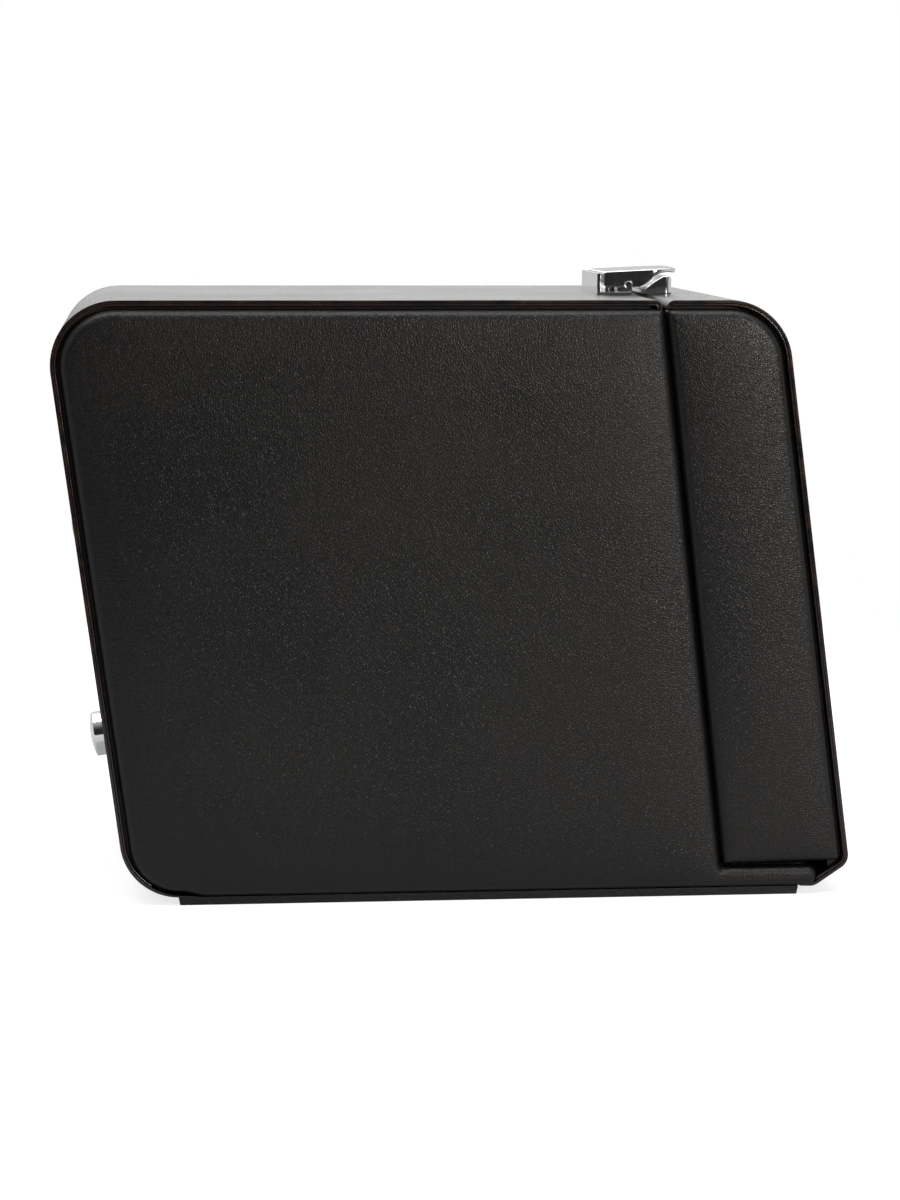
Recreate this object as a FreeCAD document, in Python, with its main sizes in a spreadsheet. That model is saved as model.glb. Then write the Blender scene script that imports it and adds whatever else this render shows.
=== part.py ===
import FreeCAD, Part
import os

import Sketcher

# Poker chip case: a leather-covered box whose sides lean 7.5 degrees, with a chip rack behind
# a bottom-hinged lid on the right and two drawers that pull out of the left face.
# Frame: origin at the centre of the base plate's underside, +X towards the lid, +Y to the far
# side, +Z up. Millimetres.

DOC = FreeCAD.newDocument("poker_chip_case")

SIZES = {
    # outline of the closed case
    "case_height": 205.0,
    "case_depth": 148.0,
    "body_left_top": -151.0,
    "lid_right_top": 99.0,
    "side_lean": 0.1325,
    "split_top": 56.6,
    "split_lean": 0.1158,
    "split_gap": 1.6,
    "top_left_radius": 21.8,
    "bottom_left_radius": 20.3,
    "lid_top_radius": 22.0,
    "lid_toe_radius": 5.0,
    "split_edge_radius": 3.5,
    # wall build-up, outside to inside
    "leather": 1.9,
    "frame_wall": 5.0,
    "side_board": 4.0,
    "panel": 3.6,
    "panel_inset": 0.4,
    "panel_gap": 1.0,
    "glue_gap": 0.3,
    # base, bottom board, tongue and toe
    "base_thickness": 2.8,
    "base_half_length": 107.0,
    "base_end_lean": 0.6,
    "band_end": -95.0,
    "bottom_board_top": 9.3,
    "tongue_top": 10.3,
    "tongue_bottom": 3.0,
    "tongue_end": 112.4,
    "tongue_radius": 3.0,
    "hinge_leather": 1.0,
    "toe_foot_x": 112.1,
    "toe_foot_z": 2.7,
    "toe_slope": 0.6465,
    "toe_start": 112.9,
    "lid_panel_bottom": 11.2,
    # partition and chip rack
    "partition_top": 50.0,
    "partition_wall": 5.0,
    "rack_depth": 26.0,
    "rack_half_width": 65.4,
    "rack_rows": 4,
    "rack_pitch": 46.5,
    "rack_first_row": 31.8,
    "rack_chips": 38,
    "chip_radius": 19.5,
    "chip_thickness": 3.3,
    "chip_pitch": 3.35,
    "trough_radius": 19.85,
    # drawers
    "opening_half_width": 62.2,
    "front_half_width": 61.8,
    "drawer_half_width": 61.6,
    "drawer_wall": 2.6,
    "drawer_floor": 3.0,
    "drawer_play": 0.4,
    "drawer_back": 47.0,
    "lower_opening_bottom": 26.0,
    "lower_opening_top": 70.5,
    "lower_side_top": 60.0,
    "shelf": 4.0,
    "upper_opening_bottom": 74.5,
    "upper_opening_top": 169.5,
    "upper_side_top": 150.0,
    "drawer_chips": 47,
    "drawer_row_pitch": 39.2,
    "tray_top": 47.0,
    "insert_top": 118.0,
    # knob, stud and their screws
    "knob_height": 47.7,
    "knob_radius": 8.5,
    "knob_side": 6.0,
    "knob_dome": 1.4,
    "stud_height": 121.5,
    "stud_radius": 6.5,
    "stud_side": 1.6,
    "stud_dome": 1.6,
    "shank_radius": 2.0,
    # latch
    "latch_half_width": 19.5,
    "latch_left": 42.5,
    "tail_fittings": 49.9,
    "lip_corner": 10.3,
    "keeper_corner": 2.4,
    "lever_left": 44.8,
    "lever_tip": 72.0,
    "lever_top": 213.0,
    "lever_low": 207.6,
    "pin_x": 53.8,
    "pin_z": 208.6,
    "pin_radius": 1.1,
    "pin_play": 0.05,
    "keeper_right": 69.3,
    "keeper_top": 211.4,
    "keeper_screw_x": 64.5,
}

sheet = DOC.addObject("Spreadsheet::Sheet", "Sizes")
for row, (alias, value) in enumerate(SIZES.items(), start=1):
    sheet.set(f"A{row}", alias)
    sheet.set(f"B{row}", str(value))
    sheet.setAlias(f"B{row}", alias)
DOC.recompute()

S = {alias: f"Sizes.{alias}" for alias in SIZES}
SIDE_STRETCH = f"sqrt(1 + {S['side_lean']} ^ 2)"
TOE_STRETCH = f"sqrt(1 + {S['toe_slope']} ^ 2)"
HALF_DEPTH = f"({S['case_depth']} / 2)"
PANEL_INSIDE = f"({HALF_DEPTH} - {S['panel_inset']} - {S['panel']})"
BOARD_INSIDE = f"({PANEL_INSIDE} - {S['side_board']})"
SHELL = f"({S['leather']} + {S['frame_wall']})"

sub_parts = []


# ---------------------------------------------------------------- places on the slanted sides


def left_x(height, inset="0"):
    """X of the body's left face at a height, moved inwards by inset."""
    lean = f"{S['side_lean']} * ({S['case_height']} - ({height}))"
    return f"({S['body_left_top']} + {lean} + ({inset}) * {SIDE_STRETCH})"


def right_x(height, inset="0"):
    """X of the lid's right face at a height, moved inwards by inset."""
    lean = f"{S['side_lean']} * ({S['case_height']} - ({height}))"
    return f"({S['lid_right_top']} + {lean} - ({inset}) * {SIDE_STRETCH})"


def split_x(height, offset="0"):
    """X of the body's edge at the split, at a height."""
    return f"({S['split_top']} + {S['split_lean']} * ({S['case_height']} - ({height})) + ({offset}))"


def lid_split_x(height, offset="0"):
    return split_x(height, f"{S['split_gap']} + ({offset})")


def partition_x(height, offset="0"):
    """X of the partition's right face at a height, moved right by offset along its normal."""
    lean = f"{S['side_lean']} * ({S['case_height']} - ({height}))"
    return f"({S['partition_top']} + {lean} + ({offset}) * {SIDE_STRETCH})"


def top_z(inset="0"):
    return f"({S['case_height']} - ({inset}))"


def toe_z(x, inset="0"):
    """Height of the lid's bevelled toe at x."""
    rise = f"{S['toe_slope']} * (({x}) - {S['toe_foot_x']})"
    return f"({S['toe_foot_z']} + {rise} + ({inset}) * {TOE_STRETCH})"


def toe_corner_x(inset="0"):
    """X where the toe's bevel meets the lid's right face, both moved inwards by inset."""
    foot = f"({S['toe_foot_z']} + ({inset}) * {TOE_STRETCH} - {S['toe_slope']} * {S['toe_foot_x']})"
    side = f"({S['lid_right_top']} - ({inset}) * {SIDE_STRETCH})"
    reach = f"({side} + {S['side_lean']} * ({S['case_height']} - {foot}))"
    return f"({reach} / (1 + {S['side_lean']} * {S['toe_slope']}))"


# ---------------------------------------------------------------- helpers that make objects


def keep(piece, node):
    """Name a finished sub-part after its node."""
    piece.Label = node
    sub_parts.append(piece)
    return piece


def bind(piece, **places):
    """Bind properties of a document object to expressions on the sheet."""
    for name, expression in places.items():
        piece.setExpression(name, f"{expression}")


def box(name, x, y, z):
    """A box between two expressions on each axis."""
    piece = DOC.addObject("Part::Box", name)
    bind(piece, Length=f"({x[1]}) - ({x[0]})", Width=f"({y[1]}) - ({y[0]})", Height=f"({z[1]}) - ({z[0]})")
    for axis, span in zip("xyz", (x, y, z)):
        piece.setExpression(f".Placement.Base.{axis}", f"{span[0]}")
    return piece


def origin_plane(body, role):
    return next(item for item in body.Origin.OriginFeatures if item.Role == role)


def prism(name, outline, y, rounds=()):
    """A PartDesign body: an outline of (x, z) expressions padded between two places on Y.

    rounds lists (corner number, radius expression) pairs for the outline's rounded corners.
    """
    body = DOC.addObject("PartDesign::Body", name)
    sketch = body.newObject("Sketcher::SketchObject", f"{name}_outline")
    sketch.AttachmentSupport = [(origin_plane(body, "XZ_Plane"), "")]
    sketch.MapMode = "FlatFace"
    places = [[sheet.evalExpression(value) for value in corner] for corner in outline]
    count = len(places)
    for i in range(count):
        start = FreeCAD.Vector(*places[i], 0)
        end = FreeCAD.Vector(*places[(i + 1) % count], 0)
        sketch.addGeometry(Part.LineSegment(start, end), False)
    for i in range(count):
        sketch.addConstraint(Sketcher.Constraint("Coincident", i, 2, (i + 1) % count, 1))
    for i, corner in enumerate(outline):
        for kind, value, expression in zip(("DistanceX", "DistanceY"), places[i], corner):
            number = sketch.addConstraint(Sketcher.Constraint(kind, -1, 1, i, 1, value))
            sketch.setExpression(f"Constraints[{number}]", expression)
    pad = body.newObject("PartDesign::Pad", f"{name}_pad")
    pad.Profile = sketch
    pad.setExpression("Length", f"({y[1]}) - ({y[0]})")
    body.setExpression(".Placement.Base.y", f"{y[1]}")
    DOC.recompute()
    by_radius = {}
    for corner, radius in rounds:
        by_radius.setdefault(radius, []).append(places[corner])
    last = pad
    for number, (radius, corners) in enumerate(by_radius.items()):
        edges = [f"Edge{i}" for i, edge in enumerate(last.Shape.Edges, start=1)
                 if any(edge_is_at(edge, corner) for corner in corners)]
        fillet = body.newObject("PartDesign::Fillet", f"{name}_round{number}")
        fillet.Base = (last, edges)
        fillet.setExpression("Radius", radius)
        DOC.recompute()
        last = fillet
    return body


def edge_is_at(edge, corner):
    """True for a straight edge along Y through the (x, z) corner."""
    return all(abs(v.X - corner[0]) < 0.01 and abs(v.Z - corner[1]) < 0.01 for v in edge.Vertexes)


def cut(name, base, *tools):
    piece = base
    for number, tool in enumerate(tools):
        step = DOC.addObject("Part::Cut", f"{name}_cut{number}")
        step.Base, step.Tool = piece, tool
        piece = step
    return piece


def group(name, *shapes):
    """Separate solids kept together in one node."""
    piece = DOC.addObject("Part::Compound", name)
    piece.Links = list(shapes)
    return piece


def both_sides(name, make):
    """The same piece on the near and the far side, as two nodes."""
    for side, sign in (("near", -1), ("far", 1)):
        keep(make(f"{side}_{name}", sign), f"{side}_{name}")


def span_y(sign, inner, outer):
    """A stretch of Y on the near (-1) or far (1) side, lowest first."""
    return (f"-({outer})", f"-({inner})") if sign < 0 else (inner, outer)


def number(alias):
    """A size read back from the sheet, for shapes worked out in this script."""
    return float(sheet.get(alias))


def coded(name, shape, placement=None):
    """A Part::Feature whose shape is worked out in this script, then placed."""
    piece = DOC.addObject("Part::Feature", name)
    piece.Shape = shape
    piece.Placement = placement or FreeCAD.Placement()
    return piece


# ---------------------------------------------------------------- body: band, frame and boards


def body_outline(inset, right, floor):
    """The leaning body outline moved inwards; right is an expression for a height."""
    return [
        (left_x(floor, inset), floor),
        (right(floor), floor),
        (right(top_z(inset)), top_z(inset)),
        (left_x(top_z(inset), inset), top_z(inset)),
    ]


def past_split(height):
    return split_x(height, "20")


def body_rounds(inset):
    return [(0, f"{S['bottom_left_radius']} - ({inset})"), (3, f"{S['top_left_radius']} - ({inset})")]


def drawer_openings(name):
    """The two openings for the drawers, through the left wall."""
    reach = (f"{S['body_left_top']} - 10", left_x(S["lower_opening_bottom"], "12"))
    width = (f"-{S['opening_half_width']}", S["opening_half_width"])
    return [box(f"{name}_{which}", reach, width, (S[f"{which}_opening_bottom"], S[f"{which}_opening_top"]))
            for which in ("lower", "upper")]


def make_band():
    floor = S["base_thickness"]
    outer = prism("band_outside", body_outline("0", split_x, floor), (f"-{HALF_DEPTH}", HALF_DEPTH),
                  body_rounds("0") + [(2, S["split_edge_radius"])])
    inset = S["leather"]
    inner_floor = f"{floor} + {inset}"
    inner = prism("band_inside", body_outline(inset, past_split, inner_floor),
                  (f"-{HALF_DEPTH} - 1", f"{HALF_DEPTH} + 1"), body_rounds(inset))
    wide = (f"-{HALF_DEPTH} - 1", f"{HALF_DEPTH} + 1")
    bottom = box("band_bottom", (S["band_end"], f"{S['tongue_end']} + 1"), wide,
                 ("0", "30"))
    return cut("main_band_leather", outer, inner, bottom, *drawer_openings("band_opening"))


def make_frame():
    inset = S["leather"]
    floor = f"{S['base_thickness']} + {inset}"
    width = (f"-{PANEL_INSIDE}", PANEL_INSIDE)
    outer = prism("frame_outside", body_outline(inset, lambda z: split_x(z, "-1.9"), floor), width,
                  body_rounds(inset) + [(2, f"{S['split_edge_radius']} - 1.5")])
    wide = (f"-{PANEL_INSIDE} - 1", f"{PANEL_INSIDE} + 1")
    inner_floor = f"{S['base_thickness']} + {SHELL}"
    inner = prism("frame_inside", body_outline(SHELL, past_split, inner_floor), wide, body_rounds(SHELL))
    bottom = box("frame_bottom", (S["band_end"], f"{S['tongue_end']} + 1"), wide, ("0", "30"))
    return cut("main_frame", outer, inner, bottom, *drawer_openings("frame_opening"))


def make_side_panel(name, sign):
    """Padded panel of the body, with the tongue that runs on below the lid."""
    inset = f"{S['leather']} + {S['panel_gap']}"
    floor = S["tongue_bottom"]
    end = S["tongue_end"]
    top = S["tongue_top"]
    outline = [
        (left_x(f"{S['base_thickness']} + {inset}", inset), f"{S['base_thickness']} + {inset}"),
        (f"{S['band_end']} - 2", f"{S['base_thickness']} + {inset}"),
        (f"{S['band_end']} + 6", floor),
        (end, floor),
        (end, top),
        (split_x(top), top),
        (split_x(top_z(inset)), top_z(inset)),
        (left_x(top_z(inset), inset), top_z(inset)),
    ]
    rounds = [(0, f"{S['bottom_left_radius']} - ({inset})"), (3, S["tongue_radius"]), (4, S["tongue_radius"]),
              (7, f"{S['top_left_radius']} - ({inset})")]
    return prism(name, outline, span_y(sign, PANEL_INSIDE, f"{HALF_DEPTH} - {S['panel_inset']}"), rounds)


def make_side_board(name, sign):
    floor = S["bottom_board_top"]
    frame_floor = f"{S['base_thickness']} + {SHELL}"
    corner = "14"
    outline = [
        (S["band_end"], floor),
        (split_x(floor, "-0.5"), floor),
        (split_x(top_z(SHELL), "-0.5"), top_z(SHELL)),
        (left_x(top_z(SHELL), SHELL), top_z(SHELL)),
        (left_x(f"{frame_floor} + {corner}", SHELL), f"{frame_floor} + {corner}"),
        (f"{left_x(frame_floor, SHELL)} + {corner}", frame_floor),
        (S["band_end"], frame_floor),
    ]
    return prism(name, outline, span_y(sign, BOARD_INSIDE, PANEL_INSIDE),
                 [(3, f"{S['top_left_radius']} - {SHELL}")])


def make_bottom_board():
    """Runs under the whole body and on below the lid; rebated underneath for the hinge leather."""
    width = (f"-{PANEL_INSIDE}", PANEL_INSIDE)
    end = f"{S['tongue_end']} - {S['panel_inset']} - {S['hinge_leather']}"
    board = box("bottom_board_blank", (S["band_end"], end), width, (S["base_thickness"], S["bottom_board_top"]))
    rebate = box("bottom_board_rebate", (split_x("0"), f"{end} + 1"),
                 (f"-{PANEL_INSIDE} - 1", f"{PANEL_INSIDE} + 1"),
                 (f"{S['base_thickness']} - 1", f"{S['base_thickness']} + {S['hinge_leather']}"))
    return cut("bottom_board", board, rebate)


def make_sill_cover():
    """Leather over the top and the end of the tongue, where the lid shuts down."""
    width = (f"-{PANEL_INSIDE}", PANEL_INSIDE)
    wide = (f"-{PANEL_INSIDE} - 1", f"{PANEL_INSIDE} + 1")
    end = f"{S['tongue_end']} - {S['panel_inset']}"
    low = f"{S['base_thickness']} + {S['hinge_leather']}"
    start = split_x(S["bottom_board_top"])
    outline = [(start, low), (end, low), (end, S["tongue_top"]), (start, S["tongue_top"])]
    outer = prism("sill_cover_blank", outline, width, [(2, "2.0")])
    inner = box("sill_cover_core", (f"{start} - 1", f"{end} - {S['hinge_leather']}"), wide,
                (f"{low} - 1", S["bottom_board_top"]))
    return cut("sill_cover", outer, inner)


def make_base_plate():
    half = S["base_half_length"]
    lean = S["base_end_lean"]
    outline = [(f"-{half} + {lean}", "0"), (f"{half} - {lean}", "0"), (half, S["base_thickness"]),
               (f"-{half}", S["base_thickness"])]
    edge = f"({HALF_DEPTH} - {S['panel_inset']})"
    return prism("base_plate_blank", outline, (f"-{edge}", edge))


def make_partition():
    floor = S["bottom_board_top"]
    wall = f"-{S['partition_wall']}"
    outline = [
        (partition_x(floor, wall), floor),
        (partition_x(floor), floor),
        (partition_x(top_z(SHELL)), top_z(SHELL)),
        (partition_x(top_z(SHELL), wall), top_z(SHELL)),
    ]
    return prism("partition", outline, (f"-{BOARD_INSIDE}", BOARD_INSIDE))


def make_shelf(name, low, high):
    """A board between the partition and the left wall that a drawer slides on or under."""
    gap = S["glue_gap"]
    outline = [
        (left_x(low, f"{SHELL} + {gap}"), low),
        (partition_x(low, f"-{S['partition_wall']}"), low),
        (partition_x(high, f"-{S['partition_wall']}"), high),
        (left_x(high, f"{SHELL} + {gap}"), high),
    ]
    return prism(name, outline, (f"-{BOARD_INSIDE}", BOARD_INSIDE))


def make_guides(name, sign):
    """Hardwood strips between the drawers and the side board, one beside each drawer."""
    strips = []
    for which in ("lower", "upper"):
        low, high = S[f"{which}_opening_bottom"], f"{S[f'{which}_opening_bottom']} + 22"
        start = left_x(low, f"{SHELL} + 1")
        end = f"{S['drawer_back']} - 2"
        strips.append(box(f"{name}_{which}", (start, end), span_y(sign, S["opening_half_width"], BOARD_INSIDE),
                          (low, high)))
    return group(name, *strips)


def make_bearers():
    """Two blocks that carry the lower shelf above the bottom board."""
    low, high = S["bottom_board_top"], f"{S['lower_opening_bottom']} - {S['shelf']}"
    ends = [(-80.0, -62.0), (30.0, 48.0)]
    return group("shelf_bearers", *[
        box(f"bearer_{i}", (str(a), str(b)), (f"-{BOARD_INSIDE}", BOARD_INSIDE), (low, high))
        for i, (a, b) in enumerate(ends)])


def base_screw_places():
    return [(x, y) for x in (-72.0, 72.0) for y in (-58.0, 58.0)]


def make_base_screws():
    """Countersunk screws up through the base plate into the bottom board."""
    screws = []
    for x, y in base_screw_places():
        head = Part.makeCone(3.0, 1.5, 1.8, FreeCAD.Vector(x, y, 0.3))
        shank = Part.makeCylinder(1.5, 4.4, FreeCAD.Vector(x, y, 2.1))
        screws.append(head.fuse(shank))
    return coded("base_screws", Part.makeCompound(screws))


# ---------------------------------------------------------------- chip rack and chips


def slanted_point(depth, height):
    """A point in front of the partition: depth along its normal, height along its face."""
    run = (1 + number("side_lean") ** 2) ** 0.5
    along = FreeCAD.Vector(-number("side_lean") / run, 0, 1 / run)
    normal = FreeCAD.Vector(1 / run, 0, number("side_lean") / run)
    foot_z = number("tongue_top")
    foot = FreeCAD.Vector(
        number("partition_top") + number("side_lean") * (number("case_height") - foot_z), 0, foot_z)
    return foot + normal * depth + along * height


def rack_row_centre(row):
    return slanted_point(number("trough_radius") + 1.0, number("rack_first_row") - number("tongue_top")
                         + row * number("rack_pitch"))


def slanted_block(depth, height, half_width):
    """A block in the partition's own directions, between two depths and two heights."""
    corners = [slanted_point(d, h) for d, h in ((depth[0], height[0]), (depth[1], height[0]),
                                                (depth[1], height[1]), (depth[0], height[1]))]
    corners = [corner + FreeCAD.Vector(0, -half_width, 0) for corner in corners]
    return Part.Face(Part.makePolygon(corners + corners[:1])).extrude(FreeCAD.Vector(0, 2 * half_width, 0))


def make_rack():
    """Four J-shaped troughs, one above the other, each open at the front above a low lip."""
    half_width = number("rack_half_width")
    row_half = number("rack_chips") * number("chip_pitch") / 2 + 0.3
    first = number("rack_first_row") - number("tongue_top")
    rows = int(number("rack_rows"))
    top = first + (rows - 1) * number("rack_pitch") + 16.0
    rack = slanted_block((0.02, number("rack_depth")), (-2.0, top), half_width)
    for row in range(rows):
        centre = rack_row_centre(row)
        start = centre - FreeCAD.Vector(0, row_half, 0)
        trough = Part.makeCylinder(number("trough_radius"), 2 * row_half, start, FreeCAD.Vector(0, 1, 0))
        height = first + row * number("rack_pitch")
        mouth = slanted_block((number("trough_radius") + 1.0, number("rack_depth") + 5),
                              (height - 16.0, height + 23.7), row_half)
        rack = rack.cut(trough).cut(mouth)
    foot = Part.makeBox(80, 200, 20, FreeCAD.Vector(60, -100, number("tongue_top") - 20))
    return coded("chip_rack", rack.cut(foot))


def chip_row(count, centre, along):
    """A row of chips on edge: equal discs set out along a direction about a centre."""
    pitch = number("chip_pitch")
    return Part.makeCompound([
        Part.makeCylinder(number("chip_radius"), number("chip_thickness"),
                          centre + along * ((i - count / 2) * pitch + (pitch - number("chip_thickness")) / 2), along)
        for i in range(count)])


def make_rack_chips(row):
    return coded(f"rack_chips_row_{row + 1}",
                 chip_row(int(number("rack_chips")), rack_row_centre(row), FreeCAD.Vector(0, 1, 0)))


# ---------------------------------------------------------------- drawers

DRAWERS = {
    "lower": {"side_top": "lower_side_top", "pull": "knob", "height": "knob_height"},
    "upper": {"side_top": "upper_side_top", "pull": "stud", "height": "stud_height"},
}


def front_layer(name, which, outside, inside):
    """One leaning layer of a drawer front, between two depths from the left face."""
    low = f"{S[f'{which}_opening_bottom']} + {S['drawer_play']}"
    high = f"{S[f'{which}_opening_top']} - {S['drawer_play']}"
    outline = [(left_x(low, outside), low), (left_x(low, inside), low), (left_x(high, inside), high),
               (left_x(high, outside), high)]
    return prism(name, outline, (f"-{S['front_half_width']}", S["front_half_width"]))


def make_drawer_box(which):
    low = f"{S[f'{which}_opening_bottom']} + 0.6"
    high = S[DRAWERS[which]["side_top"]]
    back = S["drawer_back"]
    inside = f"{SHELL}"
    outline = [(left_x(low, inside), low), (back, low), (back, high), (left_x(high, inside), high)]
    blank = prism(f"{which}_drawer_blank", outline, (f"-{S['drawer_half_width']}", S["drawer_half_width"]))
    floor = f"{low} + {S['drawer_floor']}"
    wall = f"{S['drawer_half_width']} - {S['drawer_wall']}"
    start = f"{inside} + {S['drawer_wall']}"
    hollow = [(left_x(floor, start), floor), (f"{back} - {S['drawer_wall']}", floor),
              (f"{back} - {S['drawer_wall']}", f"{high} + 1"), (left_x(f"{high} + 1", start), f"{high} + 1")]
    return cut(f"{which}_drawer_box", blank,
               prism(f"{which}_drawer_hollow", hollow, (f"-({wall})", wall)))


def outward():
    """Unit vector out of the leaning left face."""
    direction = FreeCAD.Vector(-1, 0, -number("side_lean"))
    return direction.normalize()


def on_left_face(height, depth):
    """A point on the left face at mid-depth, moved inwards by depth."""
    face = FreeCAD.Vector(
        number("body_left_top") + number("side_lean") * (number("case_height") - height), 0, height)
    return face - outward() * depth


def left_face_place(height):
    """Placement on the left face with local +Z pointing out of it."""
    return FreeCAD.Placement(on_left_face(height, 0), FreeCAD.Rotation(FreeCAD.Vector(0, 0, 1), outward()))


def domed_pull(node, height, radius, side, dome):
    """A round pull with a domed face and a shank through the drawer front."""
    wall = number("leather") + number("frame_wall")
    ball = (radius ** 2 + dome ** 2) / (2 * dome)
    head = Part.makeCylinder(radius, side + dome)
    cap = Part.makeSphere(ball, FreeCAD.Vector(0, 0, side + dome - ball))
    shank = Part.makeCylinder(number("shank_radius"), wall, FreeCAD.Vector(0, 0, -wall))
    thread = Part.makeCylinder(1.0, 6.0, FreeCAD.Vector(0, 0, -wall))
    return coded(node, head.common(cap).fuse(shank).cut(thread), left_face_place(height))


def pull_screw(node, height):
    """Pan-head screw from inside the drawer into the pull's shank."""
    wall = number("leather") + number("frame_wall")
    box_wall = number("drawer_wall") * 1.0
    head = Part.makeCylinder(3.2, 1.8, FreeCAD.Vector(0, 0, -wall - box_wall - 1.8))
    shank = Part.makeCylinder(0.95, 5.0 + box_wall, FreeCAD.Vector(0, 0, -wall - box_wall))
    return coded(node, head.fuse(shank), left_face_place(height))


def pull_hole(name, height, radius):
    """A clearance hole through the drawer front along the left face's normal."""
    hole = Part.makeCylinder(radius, 30, FreeCAD.Vector(0, 0, -20))
    return coded(name, hole, left_face_place(height))


def make_chip_tray():
    """Flocked tray in the lower drawer with three troughs along X."""
    low = number("lower_opening_bottom") + 0.6 + number("drawer_floor")
    half = number("drawer_half_width") - number("drawer_wall") - 0.1
    start, end = tray_span()
    tray = Part.makeBox(end - start, 2 * half, number("tray_top") - low, FreeCAD.Vector(start, -half, low))
    for row in (-1, 0, 1):
        centre = FreeCAD.Vector(start + 2.0, row * number("drawer_row_pitch"), tray_centre_z())
        tray = tray.cut(Part.makeCylinder(number("chip_radius") + 0.1, end - start - 4.0, centre,
                                          FreeCAD.Vector(1, 0, 0)))
    return coded("drawer_chip_tray", tray)


def tray_span():
    front = on_left_face(number("lower_opening_bottom"), number("leather") + number("frame_wall"))
    return front.x + number("drawer_wall") + 0.3, number("drawer_back") - number("drawer_wall") - 0.1


def tray_centre_z():
    return number("lower_opening_bottom") + 0.6 + number("drawer_floor") + number("chip_radius") + 0.35


def make_drawer_chips(row):
    start, end = tray_span()
    centre = FreeCAD.Vector((start + end) / 2, (row - 1) * number("drawer_row_pitch"), tray_centre_z())
    return coded(f"drawer_chips_row_{row + 1}",
                 chip_row(int(number("drawer_chips")), centre, FreeCAD.Vector(1, 0, 0)))


def upper_floor():
    return number("upper_opening_bottom") + 0.6 + number("drawer_floor")


CARD_BAY = {"x": (-106.0, -41.0), "y": (-56.0, -17.0)}
DICE_BAY = {"x": (-106.0, -41.0), "y": (-13.0, 56.0)}
SPARE_BAY = {"x": (-37.0, 40.0), "y": (-56.0, 56.0)}


def bay_box(bay, low, high):
    size = FreeCAD.Vector(bay["x"][1] - bay["x"][0], bay["y"][1] - bay["y"][0], high - low)
    return Part.makeBox(size.x, size.y, size.z, FreeCAD.Vector(bay["x"][0], bay["y"][0], low))


def make_insert():
    """Flocked insert of the upper drawer: a card bay, a dice bay and a spare bay."""
    low, high = upper_floor(), number("insert_top")
    half = number("drawer_half_width") - number("drawer_wall") - 0.1
    front = on_left_face(low, number("leather") + number("frame_wall") + number("drawer_wall"))
    start, end = front.x + 0.5, number("drawer_back") - number("drawer_wall") - 0.1
    insert = Part.makeBox(end - start, 2 * half, high - low, FreeCAD.Vector(start, -half, low))
    floor = low + 2.0
    for bay in (CARD_BAY, SPARE_BAY):
        insert = insert.cut(bay_box(bay, floor, high + 1))
    insert = insert.cut(bay_box(DICE_BAY, high - 14.0, high + 1))
    return coded("accessory_insert", insert)


def make_decks():
    """Two card decks standing on edge, corners rounded."""
    decks = []
    for i in range(2):
        deck = Part.makeBox(63.0, 17.5, 88.0, FreeCAD.Vector(-105.0, -55.0 + i * 18.5, upper_floor() + 2.1))
        edges = [e for e in deck.Edges if abs(e.Vertexes[0].Y - e.Vertexes[1].Y) > 1]
        decks.append(deck.makeFillet(3.5, edges))
    return coded("card_decks", Part.makeCompound(decks))


def make_dice():
    """Five 12 mm dice in a row, edges rounded."""
    floor = number("insert_top") - 14.0 + 0.05
    dice = []
    for i in range(5):
        die = Part.makeBox(12.0, 12.0, 12.0, FreeCAD.Vector(-100.0, -11.0 + i * 13.2, floor))
        dice.append(die.makeFillet(1.2, die.Edges))
    return coded("dice", Part.makeCompound(dice))


def make_dealer_button():
    floor = number("insert_top") - 14.0 + 0.05
    button = Part.makeCylinder(20.0, 5.0, FreeCAD.Vector(-65.0, 21.5, floor))
    return coded("dealer_button", button.makeFillet(1.0, button.Edges[:1] + button.Edges[2:]))


# ---------------------------------------------------------------- lid


def lid_outline(inset, left, bottom):
    """Lid section moved inwards by inset: toe bevel, right face, top; open side at left."""
    corner = toe_corner_x(inset)
    start = S["toe_start"]
    return [
        (start, toe_z(start, inset)),
        (corner, toe_z(corner, inset)),
        (right_x(top_z(inset), inset), top_z(inset)),
        (left(top_z(inset)), top_z(inset)),
        (left(bottom), bottom),
        (start, bottom),
    ]


def lid_rounds(inset):
    return [(1, f"{S['lid_toe_radius']} - ({inset})"), (2, f"{S['lid_top_radius']} - ({inset})")]


def make_lid_band():
    """Leather over the lid's top, right face and bevelled toe."""
    outer = prism("lid_band_outside", lid_outline("0", lid_split_x, S["lid_panel_bottom"]),
                  (f"-{HALF_DEPTH}", HALF_DEPTH), lid_rounds("0") + [(3, S["split_edge_radius"])])
    inside = S["leather"]
    corner = toe_corner_x(inside)
    start = f"{S['toe_start']} - 30"
    inner_outline = [
        (start, toe_z(start, inside)),
        (corner, toe_z(corner, inside)),
        (right_x(top_z(inside), inside), top_z(inside)),
        ("20", top_z(inside)),
        ("20", toe_z(start, inside)),
    ]
    inner = prism("lid_band_inside", inner_outline, (f"-{HALF_DEPTH} - 1", f"{HALF_DEPTH} + 1"),
                  lid_rounds(inside))
    return cut("lid_band", outer, inner)


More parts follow.
